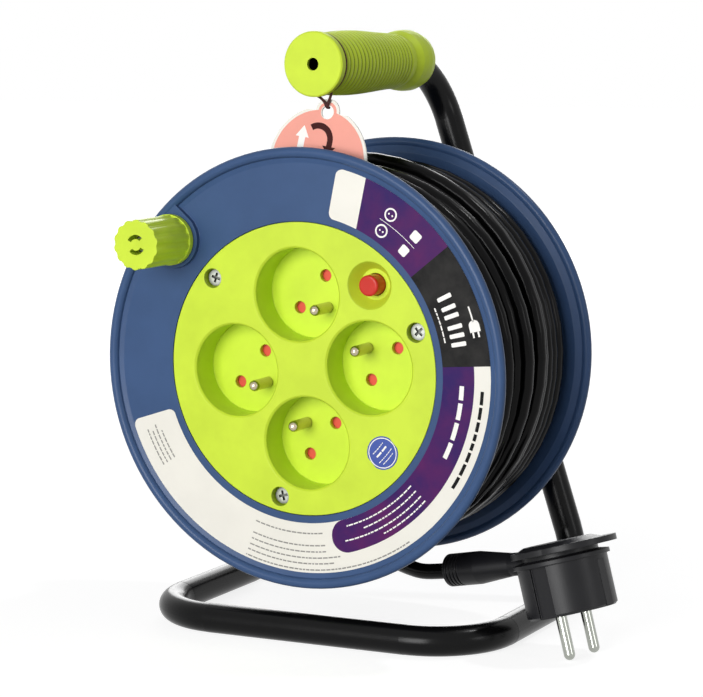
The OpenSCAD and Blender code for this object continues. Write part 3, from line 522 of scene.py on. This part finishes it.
@dataclass(frozen=True)
class Lead:
    """The supply lead: its turns on the drum and its free end."""

    # Radius of each layer, and the depths between which the turns lie
    layer_radii: tuple[float, ...] = (70.5, 76.5, 82.55)
    lane_front: float = 18.55
    lane_rear: float = 92.55
    turns_a_layer: int = 10
    # Points in a turn, and the angle at which the last turn ends
    steps: int = 48
    end_angle: float = 242.0
    # Depth of the barrel's hole, and the arc and points that lead from it to the front
    entry_depth: float = 80.0
    entry_arc: float = 212.0
    entry_points: int = 40
    # A layer climbs to the next over one part in this many of its last turn
    climb_part: int = 8
    # Half the arc below the drum where turns lie flat, and the arc over which they come free
    flat_arc: float = 38.0
    free_arc: float = 30.0
    # How a hand-wound lead wanders: size of each wave, waves in a turn, and phase in radians;
    # the inner layers do so by a share
    waves: tuple[tuple[float, float, float], ...] = (
        (2.3, 0.37, 0.0), (1.9, 0.83, 1.1), (0.9, 1.61, 2.3),
    )
    inner_wander: float = 0.3
    # Points over which the wander sets in and dies, and how near the lane's edges it stops
    start_fade: int = 40
    end_fade: int = 60
    front_fade: float = 5.0
    rear_fade: float = 24.0
    # How far the outer layer leaves the front flange, and how narrow that place is
    slack: float = 2.2
    slack_narrow: float = 2.4
    # Room over the turns at the rear, how much more in front, and where that begins
    head_rear: float = 0.4
    head_more: float = 4.6
    head_depth: float = 70.0
    head_fade: float = 10.0
    # How far a turn that crosses another sinks beside it
    sink: float = 1.6
    # Passes that smooth the crossings, and the points on each side that a pass takes
    smooth_passes: int = 3
    smooth_reach: int = 3
    # Points dropped from the end, and points of the rise that takes their place
    leave_drop: int = 6
    leave_points: int = 24
    # Points for each stretch of the free end, and its bevel resolution
    tail_steps: int = 6
    tail_sides: int = 6
    # Middle of the free end in the CAD frame, as in the CAD source
    tail: tuple[Point, ...] = (
        (-38.6, 30.9, 38.8), (-30.8, 30.1, 35.4), (-21.4, 27.3, 32.5), (-11.0, 22.5, 30.3),
        (0.0, 16.1, 28.9), (9.0, 10.6, 28.0), (18.0, 5.2, 27.0), (27.0, 0.2, 26.2),
        (35.0, -3.4, 26.0), (43.92, -5.83, 27.28), (50.55, -7.13, 28.67),
    )

    def _calm(self, angle: float) -> float:
        """Tell how freely turns lie, from 0 for flat, below beside the free end, up to 1."""
        away = abs((angle - 90) % 360 - 180)
        return max(0.0, min(1.0, (away - self.flat_arc) / self.free_arc))

    def _wander(self, angle: float) -> float:
        """Work out how far along the axis a hand-wound turn lies off its ideal place."""
        turn = math.radians(angle)
        return sum(size * math.sin(rate * turn + phase) for size, rate, phase in self.waves)

    def _slack(self, angle: float) -> float:
        """Work out how far the outer layer stands off the front flange, most on the right."""
        away = abs((angle + 180) % 360 - 180)
        return self.slack * (1 + math.cos(math.radians(min(180.0, away * self.slack_narrow))))

    def _headroom(self, depth: float) -> float:
        """Work out how far turns may rise and not touch the free end as the drum turns."""
        before = (self.head_depth - depth) / self.head_fade
        return self.head_rear + self.head_more * max(0.0, min(1.0, before))

    def _lifts(self, depths: list[float], angles: list[float]) -> list[float]:
        """Work out how far each point of the outer layer is lifted by turns that it crosses.

        Args:
            depths: Millimetres behind the rim of the layer's points.
            angles: Degrees round the drum of the same points.

        Returns:
            Millimetres outwards, the same number of values.
        """
        thick = CABLE_D / MM
        raw = []
        for i, depth in enumerate(depths):
            rest = 0.0
            for j in range(i - self.steps, -1, -self.steps):
                aside = abs(depth - depths[j])
                if aside < thick:
                    rest = max(rest, raw[j] + math.sqrt(thick**2 - aside**2) - self.sink)
            raw.append(min(rest, self._headroom(depth)) * self._calm(angles[i]))
        smooth = raw
        last = len(raw) - 1
        near = range(-self.smooth_reach, self.smooth_reach + 1)
        for _ in range(self.smooth_passes):
            smooth = [
                sum(smooth[max(0, min(last, i + k))] for k in near) / len(near)
                for i in range(last + 1)
            ]
        return smooth

    def _ideal_path(self) -> list[tuple[float, float, float, int]]:
        """Lay the turns side by side, layer on layer.

        Returns:
            Radius, angle, depth and layer of each point.
        """
        total = self.turns_a_layer * 360
        layers = len(self.layer_radii)
        path = []
        for layer, radius in enumerate(self.layer_radii):
            outer = layer == layers - 1
            for k in range(self.turns_a_layer * self.steps + outer):
                share = k / (self.turns_a_layer * self.steps)
                angle = self.end_angle - (layers - layer) * total + total * share
                front = self.lane_front + (self._slack(angle) if outer else 0.0)
                depth = front + (self.lane_rear - front) * (1 - share if layer == 1 else share)
                left = (1 - share) * self.turns_a_layer * self.climb_part
                climb = 0.0 if outer else max(0.0, 1 - left)
                above = self.layer_radii[min(layer + 1, layers - 1)]
                ease = climb * climb * (3 - 2 * climb)
                path.append((radius + (above - radius) * ease, angle, depth, layer))
        return path

    def turns(self) -> list[Point]:
        """Work out the whole winding, from the barrel's hole to the start of the free end.

        Returns:
            The middle of the lead in the CAD frame, in metres.
        """
        layers = len(self.layer_radii)
        start = self.end_angle - layers * self.turns_a_layer * 360 - self.entry_arc
        way = self.entry_depth - self.lane_front
        points = []
        for k in range(self.entry_points - 1):
            angle = start + self.entry_arc * k / self.entry_points
            depth = self.entry_depth - way * k / self.entry_points
            points.append(reel_point(self.layer_radii[0], angle, depth))
        path = self._ideal_path()
        last = len(path) - 1
        depths = []
        for i, (_, angle, depth, layer) in enumerate(path):
            fade = min(1.0, i / self.start_fade, (last - i) / self.end_fade)
            fade *= self._calm(angle) if layer == layers - 1 else self.inner_wander
            front, rear = depth - self.lane_front, self.lane_rear - depth
            edge = min(1.0, front / self.front_fade, rear / self.rear_fade)
            depths.append(depth + self._wander(angle) * fade * max(0.0, edge))
        first = next(i for i, place in enumerate(path) if place[3] == layers - 1)
        lifts = [0.0] * first + self._lifts(depths[first:], [place[1] for place in path[first:]])
        for i, (radius, angle, _, _) in enumerate(path):
            lift = lifts[i] * min(1.0, (last - i) / self.end_fade)
            points.append(reel_point(radius + lift, angle, depths[i]))
        return self._leave(points)

    def _leave(self, points: list[Point]) -> list[Point]:
        """Let the end of the last turn rise to where the free end starts.

        Args:
            points: The winding's points so far.

        Returns:
            The points with the new end.
        """
        start = Vector(self.tail[0]) - Vector((0, RIM_Y, AXIS_Z)) / MM
        heading = (Vector(self.tail[1]) - Vector(self.tail[0])).normalized()
        radius = math.hypot(start.x, start.z)
        end = math.degrees(math.atan2(start.z, start.x)) + 360
        first = self.end_angle - self.leave_drop * 360 / self.steps
        arc = math.radians(end - first) * radius
        outwards = (heading.x * start.x + heading.z * start.z) / radius * arc
        top = self.layer_radii[-1]
        path = points[: -self.leave_drop]
        for k in range(1, self.leave_points + 1):
            share = k / self.leave_points
            rise, settle = share * share * (3 - 2 * share), share * share * (share - 1)
            path.append(
                reel_point(
                    top + (radius - top) * rise + outwards * settle,
                    first + (end - first) * share,
                    self.lane_rear + (start.y - self.lane_rear) * rise + heading.y * arc * settle,
                )
            )
        return path

    def build(self) -> None:
        """Draw the winding and the free end, and hide the CAD nodes that they stand in for."""
        turns = self.turns()
        winding = dress(cord_object("lead_winding", turns, CABLE_D / 2), Finishes.PVC, "drum")
        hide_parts("cable_core", "cable_winding")
        route = [q * MM for q in smooth_route(self.tail, self.tail_steps)]
        tube = cord_object("lead_free_end", route, CABLE_D / 2, self.tail_sides)
        tail = dress(tube, Finishes.PVC, "frame")
        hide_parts("cable_tail")


@dataclass
class RingLabel:
    """The film label round the front flange, with plain fields and unreadable lines."""

    inner: float = 66.5
    outer: float = 88.2
    # Angles of its two ends, and the depth of the face that it lies on
    first: float = 78.5
    last: float = -162.0
    face_depth: float = 2.8
    # How far the film stands off the face, and each print off the one below it
    film_lift: float = 0.2
    print_lift: float = 0.02
    # Arc of a column of a field's grid, and the columns and rows that round its corners
    column_arc: float = 1.2
    corner_columns: int = 24
    corner_rows: int = 6
    circle_points: int = 40
    # A dash's least and further length and the gap after it, as shares of its height
    dash_least: float = 1.6
    dash_more: float = 2.2
    dash_gap: float = 0.7
    dash_scatter: float = 12.9898
    fine_print: float = 0.6
    # Where purple, black, purple again and bare film start; the second purple's outer radius
    purple_from: float = 69.3
    black_from: float = 38.8
    purple_again: float = 4.1
    purple_end: float = -78.6
    purple_outer: float = 80.8
    # Bars in place of the large print: the angles where each starts and ends
    bars: tuple[Pair, ...] = (
        (27.5, 26.1), (24.0, 22.6), (21.2, 19.8), (17.6, 16.2), (14.8, 13.4), (12.0, 10.6),
    )
    bar_radii: Pair = (71.8, 78.6)
    # Two socket signs, each beside an empty box: their angles and radii
    sign_angle: float = 57.7
    sign_radii: Pair = (79.8, 71.7)
    sign_hole_angle: float = 0.65
    box_angles: Pair = (48.9, 45.7)
    box_half: float = 2.2
    # Rows of fine print: radius, and the angle where each ends or starts
    purple_rows: tuple[Pair, ...] = ((78.3, -60.0), (75.6, -74.0), (72.5, -66.0), (69.5, -72.0))
    grey_rows: tuple[Pair, ...] = (
        (86.9, -54.0), (84.2, -79.5), (81.7, -77.0), (79.0, -81.6), (76.3, -81.6), (71.0, -82.0),
    )
    far_rows: tuple[Pair, ...] = ((82.5, -158.0), (80.3, -157.0), (78.1, -158.5), (75.9, -156.0))
    purple_rows_from: float = -41.8
    grey_rows_to: float = -108.5
    far_rows_from: float = -146.0
    sheets: dict[Finish, BMesh] = field(default_factory=dict)

    def _depth(self, level: int) -> float:
        """Give the depth of a print that lies over so many films."""
        return self.face_depth - self.film_lift - self.print_lift * level

    def _sheet(self, finish: Finish) -> BMesh:
        """Find the mesh that gathers everything printed in one ink.

        Args:
            finish: The ink or film.

        Returns:
            The ink's mesh.
        """
        if finish not in self.sheets:
            self.sheets[finish] = bmesh.new()
        return self.sheets[finish]

    def patch(
        self, finish: Finish, angles: Pair, radii: Pair, level: int, slant: float = 0.0,
        corners: Pair = (0.0, 0.0),
    ) -> None:
        """Lay one printed field on the flange.

        Args:
            finish: Its ink or film.
            angles: Degrees where it starts and ends.
            radii: Millimetres from the axis to its inner and outer edge.
            level: How many films it lies over.
            slant: Degrees that the inner edge's start lies past the outer one's.
            corners: Radius of the rounded corners at the start and at the end, in millimetres.
        """
        sweep = angles[1] - angles[0]
        rounded = max(corners) > 0
        columns = max(1, int(abs(sweep) / self.column_arc))
        grid = bmesh.ops.create_grid(
            self._sheet(finish),
            x_segments=columns + (self.corner_columns if rounded else 0),
            y_segments=self.corner_rows if rounded else 1,
            size=0.5,
        )
        depth = self._depth(level)
        mid = sum(radii) / 2
        half = (radii[1] - radii[0]) / 2
        arc = abs(math.radians(sweep)) * mid
        for vert in grid["verts"]:
            share, rise = vert.co.x + 0.5, vert.co.y * 2
            share = 0.5 - 0.5 * math.cos(math.pi * share) if rounded else share
            inset = 0.0
            for corner, away in zip(corners, (share * arc, (1 - share) * arc)):
                if away < corner:
                    reach = math.sqrt(max(0.0, corner**2 - (corner - away) ** 2))
                    inset = max(inset, corner - reach)
            radius = mid + rise * (half - inset)
            lean = slant * (1 - (radius - radii[0]) / (2 * half)) * (1 - share)
            vert.co = Vector(reel_point(radius, angles[0] + sweep * share + lean, depth))

    def lines(
        self, finish: Finish, angles: Pair, radius: float, height: float, seed: int
    ) -> None:
        """Stand in for a line of print with dashes that can't be read.

        Args:
            finish: Its ink.
            angles: Degrees where the line starts and ends.
            radius: Millimetres from the axis to the line's middle.
            height: Height of the dashes in millimetres.
            seed: Picks the dashes' lengths.
        """
        place, index = angles[0], seed
        while place > angles[1]:
            index += 1
            long = self.dash_least + self.dash_more * abs(math.sin(index * self.dash_scatter))
            end = max(angles[1], place - height * long / radius * DASH_DEGREES)
            self.patch(finish, (place, end), (radius - height / 2, radius + height / 2), 3)
            place = end - height * self.dash_gap / radius * DASH_DEGREES

    def spot(
        self, finish: Finish, angle: float, radius: float, size: float, hole: float = 0.0
    ) -> None:
        """Print a disc or a ring.

        Args:
            finish: Its ink.
            angle: Degrees of its middle.
            radius: Millimetres from the axis to its middle.
            size: Its radius in millimetres.
            hole: Radius of a hole in millimetres, or 0.
        """
        mesh = self._sheet(finish)
        verts = bmesh.ops.create_circle(
            mesh, segments=self.circle_points, radius=size * MM, cap_ends=hole == 0
        )["verts"]
        if hole > 0:
            rim = list({edge for vert in verts for edge in vert.link_edges})
            made = bmesh.ops.extrude_edge_only(mesh, edges=rim)["geom"]
            inner = [part for part in made if isinstance(part, BMVert)]
            for vert in inner:
                vert.co *= hole / size
            verts = verts + inner
        middle = Vector(reel_point(radius, angle, self._depth(2)))
        for vert in verts:
            vert.co = middle + Vector((vert.co.x, 0, vert.co.y))

    def plug_sign(self) -> None:
        """Print the plain outline of a plug, its lead towards the top."""
        self.patch(Finishes.WHITE, (17.4, 14.0), (81.4, 86.2), 2, corners=(2.2, 0.0))
        self.patch(Finishes.WHITE, (21.5, 17.0), (83.45, 84.15), 2)
        for radius in (82.6, 85.0):
            self.patch(Finishes.WHITE, (14.1, 12.4), (radius - 0.4, radius + 0.4), 2)

    def socket_signs(self) -> None:
        """Print two plain socket signs with an empty box each, and a line between them."""
        for radius in self.sign_radii:
            self.spot(Finishes.WHITE, self.sign_angle, radius, 2.9, hole=2.2)
            for side in (-1.0, 1.0):
                angle = self.sign_angle + side * self.sign_hole_angle
                self.spot(Finishes.WHITE, angle, radius, 0.4)
            box = (radius - self.box_half, radius + self.box_half)
            self.patch(Finishes.WHITE, self.box_angles, box, 2, corners=(0.9, 0.9))
        self.patch(Finishes.WHITE, (60.2, 45.2), (75.65, 75.9), 2)

    def build(self) -> None:
        """Lay the label and everything printed on it."""
        full = (self.inner, self.outer)
        low = (self.inner, self.purple_outer)
        self.patch(Finishes.PAPER, (self.first, self.last), full, 0, corners=(3.0, 3.0))
        self.patch(Finishes.PURPLE, (self.purple_from, self.black_from), full, 1, slant=-2.8)
        self.patch(Finishes.FIELD, (self.black_from, self.purple_again), full, 1)
        again = (self.purple_again, self.purple_end)
        self.patch(Finishes.PURPLE, again, low, 1, corners=(0.0, 7.0))
        self.plug_sign()
        for angles in self.bars:
            self.patch(Finishes.WHITE, angles, self.bar_radii, 2, corners=(0.5, 0.5))
        self.lines(Finishes.WHITE, (25.0, 12.5), 69.2, self.fine_print, 5)
        self.socket_signs()
        self.lines(Finishes.INK, (-3.0, -33.0), 84.5, 1.5, 3)
        self.lines(Finishes.WHITE, (-2.0, -27.5), 75.2, 2.0, 8)
        white, grey = Finishes.WHITE, Finishes.GREY
        rows = [(white, row, (self.purple_rows_from, end)) for row, end in self.purple_rows]
        rows += [(grey, row, (start, self.grey_rows_to)) for row, start in self.grey_rows]
        rows += [(grey, row, (self.far_rows_from, end)) for row, end in self.far_rows]
        for ink, row, span in rows:
            self.lines(ink, span, row, self.fine_print, int(row))
        for finish, mesh in self.sheets.items():
            name = "label_" + finish.title.replace(" ", "_")
            sheet = dress(mesh_object(name, mesh), finish, "drum")
            if finish is Finishes.PAPER:
                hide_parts("flange_label")


@dataclass
class StickerPrint(RingLabel):
    """The lines on the small sticker of the socket plate, which can't be read."""

    face_depth: float = 3.07
    # Angle and radius of the sticker's middle
    middle: float = -41.0
    middle_r: float = 50.9
    # Rows of fine print: millimetres above the middle, and degrees that they reach aside
    rows: tuple[Pair, ...] = ((3.6, 3.6), (1.9, 4.8), (-2.7, 4.2))
    ring: Pair = (6.6, 6.2)

    def build(self) -> None:
        """Print the sticker."""
        for seed, (rise, reach) in enumerate(self.rows):
            ends = (self.middle + reach, self.middle - reach)
            self.lines(Finishes.WHITE, ends, self.middle_r + rise, 0.35, seed * 3)
        ends = (self.middle + 3.8, self.middle - 3.8)
        self.lines(Finishes.WHITE, ends, self.middle_r - 0.6, 0.8, 2)
        self.spot(Finishes.WHITE, self.middle, self.middle_r, self.ring[0], hole=self.ring[1])
        for finish, mesh in self.sheets.items():
            dress(mesh_object("sticker_print", mesh), finish, "drum")


@dataclass(frozen=True)
class Lamp:
    """A soft square light that looks at the reel.

    Args:
        name: The light's name.
        place: Where it stands, in metres.
        size: Its side in metres.
        watts: Its power.
    """

    name: str
    place: Point
    size: float
    watts: float


@dataclass(frozen=True)
class Studio:
    """The camera, the lights, the white background and the floor, with places in metres."""

    sensor: float = 36.0
    lens: float = 132.44
    clip_end: float = 50.0
    # Where the camera stands, and how far it is turned, looks down and is rolled
    eye: Point = (0.5072, -1.0212, 0.2701)
    turned: float = 26.485
    down: float = 7.35
    rolled: float = -0.2565
    # What every light looks at
    aim: Point = (0.0, 0.0, 0.12)
    lamps: tuple[Lamp, ...] = (
        Lamp("key", (-0.1, -2.2, 0.45), 1.2, 52),
        Lamp("side", (1.7, -0.3, 0.5), 0.4, 2),
        Lamp("top", (0.6, 0.35, 1.35), 0.1, 3.5),
        Lamp("back", (-0.9, 1.9, 0.8), 1.2, 16),
    )
    # Strength of the white that lights the reel
    soft_white: float = 0.12
    # Half the floor's side; its glow near the reel and where that has grown to full white
    floor_half: float = 6.0
    floor_near: float = 0.2
    floor_far: float = 0.9
    floor_glow: float = 0.84
    floor_grey: float = 0.35

    def camera(self) -> None:
        """Stand the camera in front of the reel, right of it and a little above."""
        data = bpy.data.cameras.new("camera")
        data.sensor_width = self.sensor
        data.lens = self.lens
        data.clip_end = self.clip_end
        obj = bpy.data.objects.new("camera", data)
        bpy.context.scene.collection.objects.link(obj)
        turn = (
            Matrix.Rotation(math.radians(self.turned), 4, "Z")
            @ Matrix.Rotation(math.radians(90 - self.down), 4, "X")
            @ Matrix.Rotation(math.radians(self.rolled), 4, "Z")
        )
        obj.matrix_world = Matrix.Translation(self.eye) @ turn
        bpy.context.scene.camera = obj

    def light(self, lamp: Lamp) -> None:
        """Add a light.

        Args:
            lamp: The light.
        """
        data = bpy.data.lights.new(lamp.name, "AREA")
        data.energy, data.size = lamp.watts, lamp.size
        obj = bpy.data.objects.new(lamp.name, data)
        bpy.context.scene.collection.objects.link(obj)
        look = (Vector(self.aim) - Vector(lamp.place)).to_track_quat("-Z", "Y")
        obj.matrix_world = Matrix.Translation(lamp.place) @ look.to_matrix().to_4x4()
        obj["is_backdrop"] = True

    @staticmethod
    def _seen(tree: NodeTree) -> NodeSocket:
        """Tell the rays that show the background from those that light the reel.

        Args:
            tree: The node tree to add to.

        Returns:
            1 for camera, glossy and transmission rays, 0 for the rest.
        """
        rays = add_node(tree, "LightPath")
        total = rays.outputs["Is Camera Ray"]
        for name in ("Is Glossy Ray", "Is Transmission Ray"):
            either = add_node(tree, "Math")
            either.operation = "MAXIMUM"
            tree.links.new(total, either.inputs[0])
            tree.links.new(rays.outputs[name], either.inputs[1])
            total = either.outputs[0]
        return total

    def background(self) -> None:
        """White for the camera and for reflections, and a softer white for the light."""
        world = bpy.data.worlds.new("studio")
        bpy.context.scene.world = world
        world.use_nodes = True
        tree = world.node_tree
        tree.nodes.clear()
        soft = add_node(tree, "Background", Color=(1, 1, 1, 1), Strength=self.soft_white)
        white = add_node(tree, "Background", Color=(1, 1, 1, 1), Strength=1.0)
        seen = add_node(tree, "MixShader", Fac=self._seen(tree))
        tree.links.new(soft.outputs[0], seen.inputs[1])
        tree.links.new(white.outputs[0], seen.inputs[2])
        add_node(tree, "OutputWorld", Surface=seen.outputs[0])

    def floor(self) -> None:
        """Lay a pale floor that keeps a faint shadow."""
        mesh = bmesh.new()
        bmesh.ops.create_grid(mesh, x_segments=1, y_segments=1, size=self.floor_half)
        obj = mesh_object("floor", mesh)
        material = bpy.data.materials.new("white studio floor")
        material.use_nodes = True
        tree = material.node_tree
        tree.nodes.clear()
        reach = add_node(tree, "VectorMath", Vector=add_node(tree, "TexCoord").outputs["Object"])
        reach.operation = "LENGTH"
        away = add_node(
            tree, "MapRange", Value=reach.outputs["Value"], From_Min=self.floor_near,
            From_Max=self.floor_far, To_Min=self.floor_glow, To_Max=1.0,
        )
        seen = add_node(tree, "Math")
        seen.operation = "MULTIPLY"
        tree.links.new(self._seen(tree), seen.inputs[0])
        tree.links.new(away.outputs["Result"], seen.inputs[1])
        matt = add_node(tree, "BsdfDiffuse", Color=(self.floor_grey,) * 3 + (1,))
        glow = add_node(tree, "Emission", Color=(1, 1, 1, 1), Strength=seen.outputs[0])
        both = add_node(tree, "AddShader")
        tree.links.new(matt.outputs[0], both.inputs[0])
        tree.links.new(glow.outputs[0], both.inputs[1])
        add_node(tree, "OutputMaterial", Surface=both.outputs[0])
        obj.data.materials.append(material)
        obj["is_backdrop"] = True

    def build(self) -> None:
        """Set up the whole studio."""
        self.camera()
        self.background()
        self.floor()
        for lamp in self.lamps:
            self.light(lamp)
        scene = bpy.context.scene
        scene.view_settings.view_transform = "Standard"
        scene.render.film_transparent = False


@dataclass(frozen=True)
class HangTag:
    """The hanging tag: a card with a white border and two plain arrows.

    Its shapes are drawn right of and above the middle of the hole, on the upright card.
    """

    # Middle of the hole in the CAD frame; how far the card leans back and hangs aslant
    hole: Point = (6.7, -38.219, 229.1)
    lean: float = 9.0
    tilt: float = 9.0
    thick: float = 0.4
    print_lift: float = 0.02
    # The card is a disc cut off below, with a round lug about the hole
    disc_middle: float = -21.3
    disc_r: float = 23.3
    bottom: float = -36.5
    lug_r: float = 5.7
    border: float = 1.3
    slit_r: float = 3.1
    disc_points: int = 40
    straight_arrow: tuple[Pair, ...] = (
        (-9.5, -7.2), (-6.3, -12.2), (-8.0, -12.2), (-8.0, -24.0), (-11.0, -24.0),
        (-11.0, -12.2), (-12.7, -12.2),
    )
    # The turning arrow is an arc with this middle and these radii, and a head
    arc_middle: Pair = (-2.0, -12.2)
    arc_radii: Pair = (7.35, 4.65)
    arc_start: float = 130
    arc_points: int = 14
    arrow_head: tuple[Pair, ...] = (
        (5.35, -14.3), (7.2, -14.3), (4.0, -17.8), (0.8, -14.3), (2.65, -14.3),
    )

    def _print(self, name: str, finish: Finish, outline: Sequence[Pair], level: int) -> None:
        """Print a flat shape on the card's front.

        Args:
            name: The shape's name.
            finish: Its ink.
            outline: Its corners.
            level: How many prints it lies over.
        """
        mesh = bmesh.new()
        lean, tilt = math.radians(self.lean), math.radians(self.tilt)
        out = self.thick + self.print_lift * (level + 1)
        verts = []
        for across, along in outline:
            x = across * math.cos(tilt) + along * math.sin(tilt)
            up = along * math.cos(tilt) - across * math.sin(tilt)
            place = Vector((x, -out * math.cos(lean) + up * math.sin(lean), 0))
            place.z = up * math.cos(lean) + out * math.sin(lean)
            verts.append(mesh.verts.new((Vector(self.hole) + place) * MM))
        edges = [mesh.edges.new((a, b)) for a, b in zip(verts, verts[1:] + verts[:1])]
        bmesh.ops.triangle_fill(mesh, edges=edges, use_beauty=True)
        dress(mesh_object(name, mesh), finish, "tag")

    def _face(self) -> list[Pair]:
        """Draw the coloured face, a border's width inside the card's edge.

        Returns:
            The outline, with a slit from the top that leads round the hole.
        """
        lug = self.lug_r - self.border
        disc = self.disc_r - self.border
        side = math.asin(lug / disc)
        low = math.asin((self.disc_middle - self.bottom - self.border) / disc)
        arc = math.pi / 2 - side + low
        count = self.disc_points
        sweep = [math.pi / 2 + side + k / count * arc for k in range(count + 1)]
        left = [(disc * math.cos(a), self.disc_middle + disc * math.sin(a)) for a in sweep]
        right = [(-x, up) for x, up in reversed(left)]
        slit = [math.radians(a) for a in range(92, 449, 12)]
        hole = [(self.slit_r * math.cos(a), self.slit_r * math.sin(a)) for a in slit]
        lug_arc = [math.radians(a) for a in range(0, 181, 12)]
        top = [(lug * math.cos(a), lug * math.sin(a)) for a in lug_arc]
        half = len(top) // 2
        return top[:half] + hole[::-1] + top[half:] + left + right

    def _turning_arrow(self) -> list[Pair]:
        """Draw the arrow that bends over to the right.

        Returns:
            Its outline.
        """
        turn = [math.radians(self.arc_start - k * 10) for k in range(self.arc_points)]
        x, up = self.arc_middle
        outer, inner = (
            [(x + r * math.cos(a), up + r * math.sin(a)) for a in turn] for r in self.arc_radii
        )
        return outer + list(self.arrow_head) + inner[::-1]

    def build(self) -> None:
        """Repaint the card and print on its front."""
        repaint("hang_tag", Finishes.PAPER)
        self._print("tag_face", Finishes.CARD, self._face(), 0)
        self._print("tag_straight_arrow", Finishes.WHITE, self.straight_arrow, 1)
        self._print("tag_turning_arrow", Finishes.MAROON, self._turning_arrow(), 1)


@dataclass(frozen=True)
class TagString:
    """The elastic string: a ring round the grip's neck, drawn down in a V into the tag's hole."""

    neck: Point = (2.0, -37.5, 249.5)
    ring_r: float = 13.05
    radius: float = 0.6
    # Angle where the ring starts, and its points, 10 degrees apart
    ring_start: float = -62
    ring_points: int = 33
    # The V's two strands, from the ring down to the hole
    left: tuple[Point, ...] = (
        (2.2, -38.0, 235.75), (4.6, -38.9, 234.4), (6.0, -39.3, 232.9), (6.45, -38.7, 231.3),
        (6.5, -37.3, 231.0),
    )
    right: tuple[Point, ...] = (
        (8.3, -38.1, 236.9), (8.0, -38.9, 234.9), (7.3, -39.3, 233.0), (6.95, -38.7, 231.3),
        (6.9, -37.3, 231.0),
    )

    def build(self) -> None:
        """Draw the string as one loop from the tag's hole and back."""
        ring = []
        for k in range(self.ring_points):
            turn = math.radians(self.ring_start + k * 10)
            out = Vector((math.cos(turn), 0, math.sin(turn)))
            ring.append(Vector(self.neck) + self.ring_r * out)
        loop = [Vector(q) for q in self.right[::-1]] + ring + [Vector(q) for q in self.left]
        route = [q * MM for q in smooth_route(loop, 4)]
        tube = cord_object("tag_string_loop", route, self.radius * MM, 3)
        string = dress(tube, Finishes.STRING, "frame")
        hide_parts("tag_string")


def corners() -> list[list[float]]:
    """Measure the lowest and the highest corner of the object that is in view, in metres."""
    return [list(corner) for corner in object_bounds()]


def main() -> None:
    """Build every piece, the studio and the camera."""
    logging.basicConfig(level=logging.INFO, format="%(name)s: %(message)s")
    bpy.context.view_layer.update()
    CadPieces().build()
    Lead().build()
    RingLabel().build()
    StickerPrint().build()
    HangTag().build()
    TagString().build()
    Studio().build()


if __name__ == "__main__":
    main()
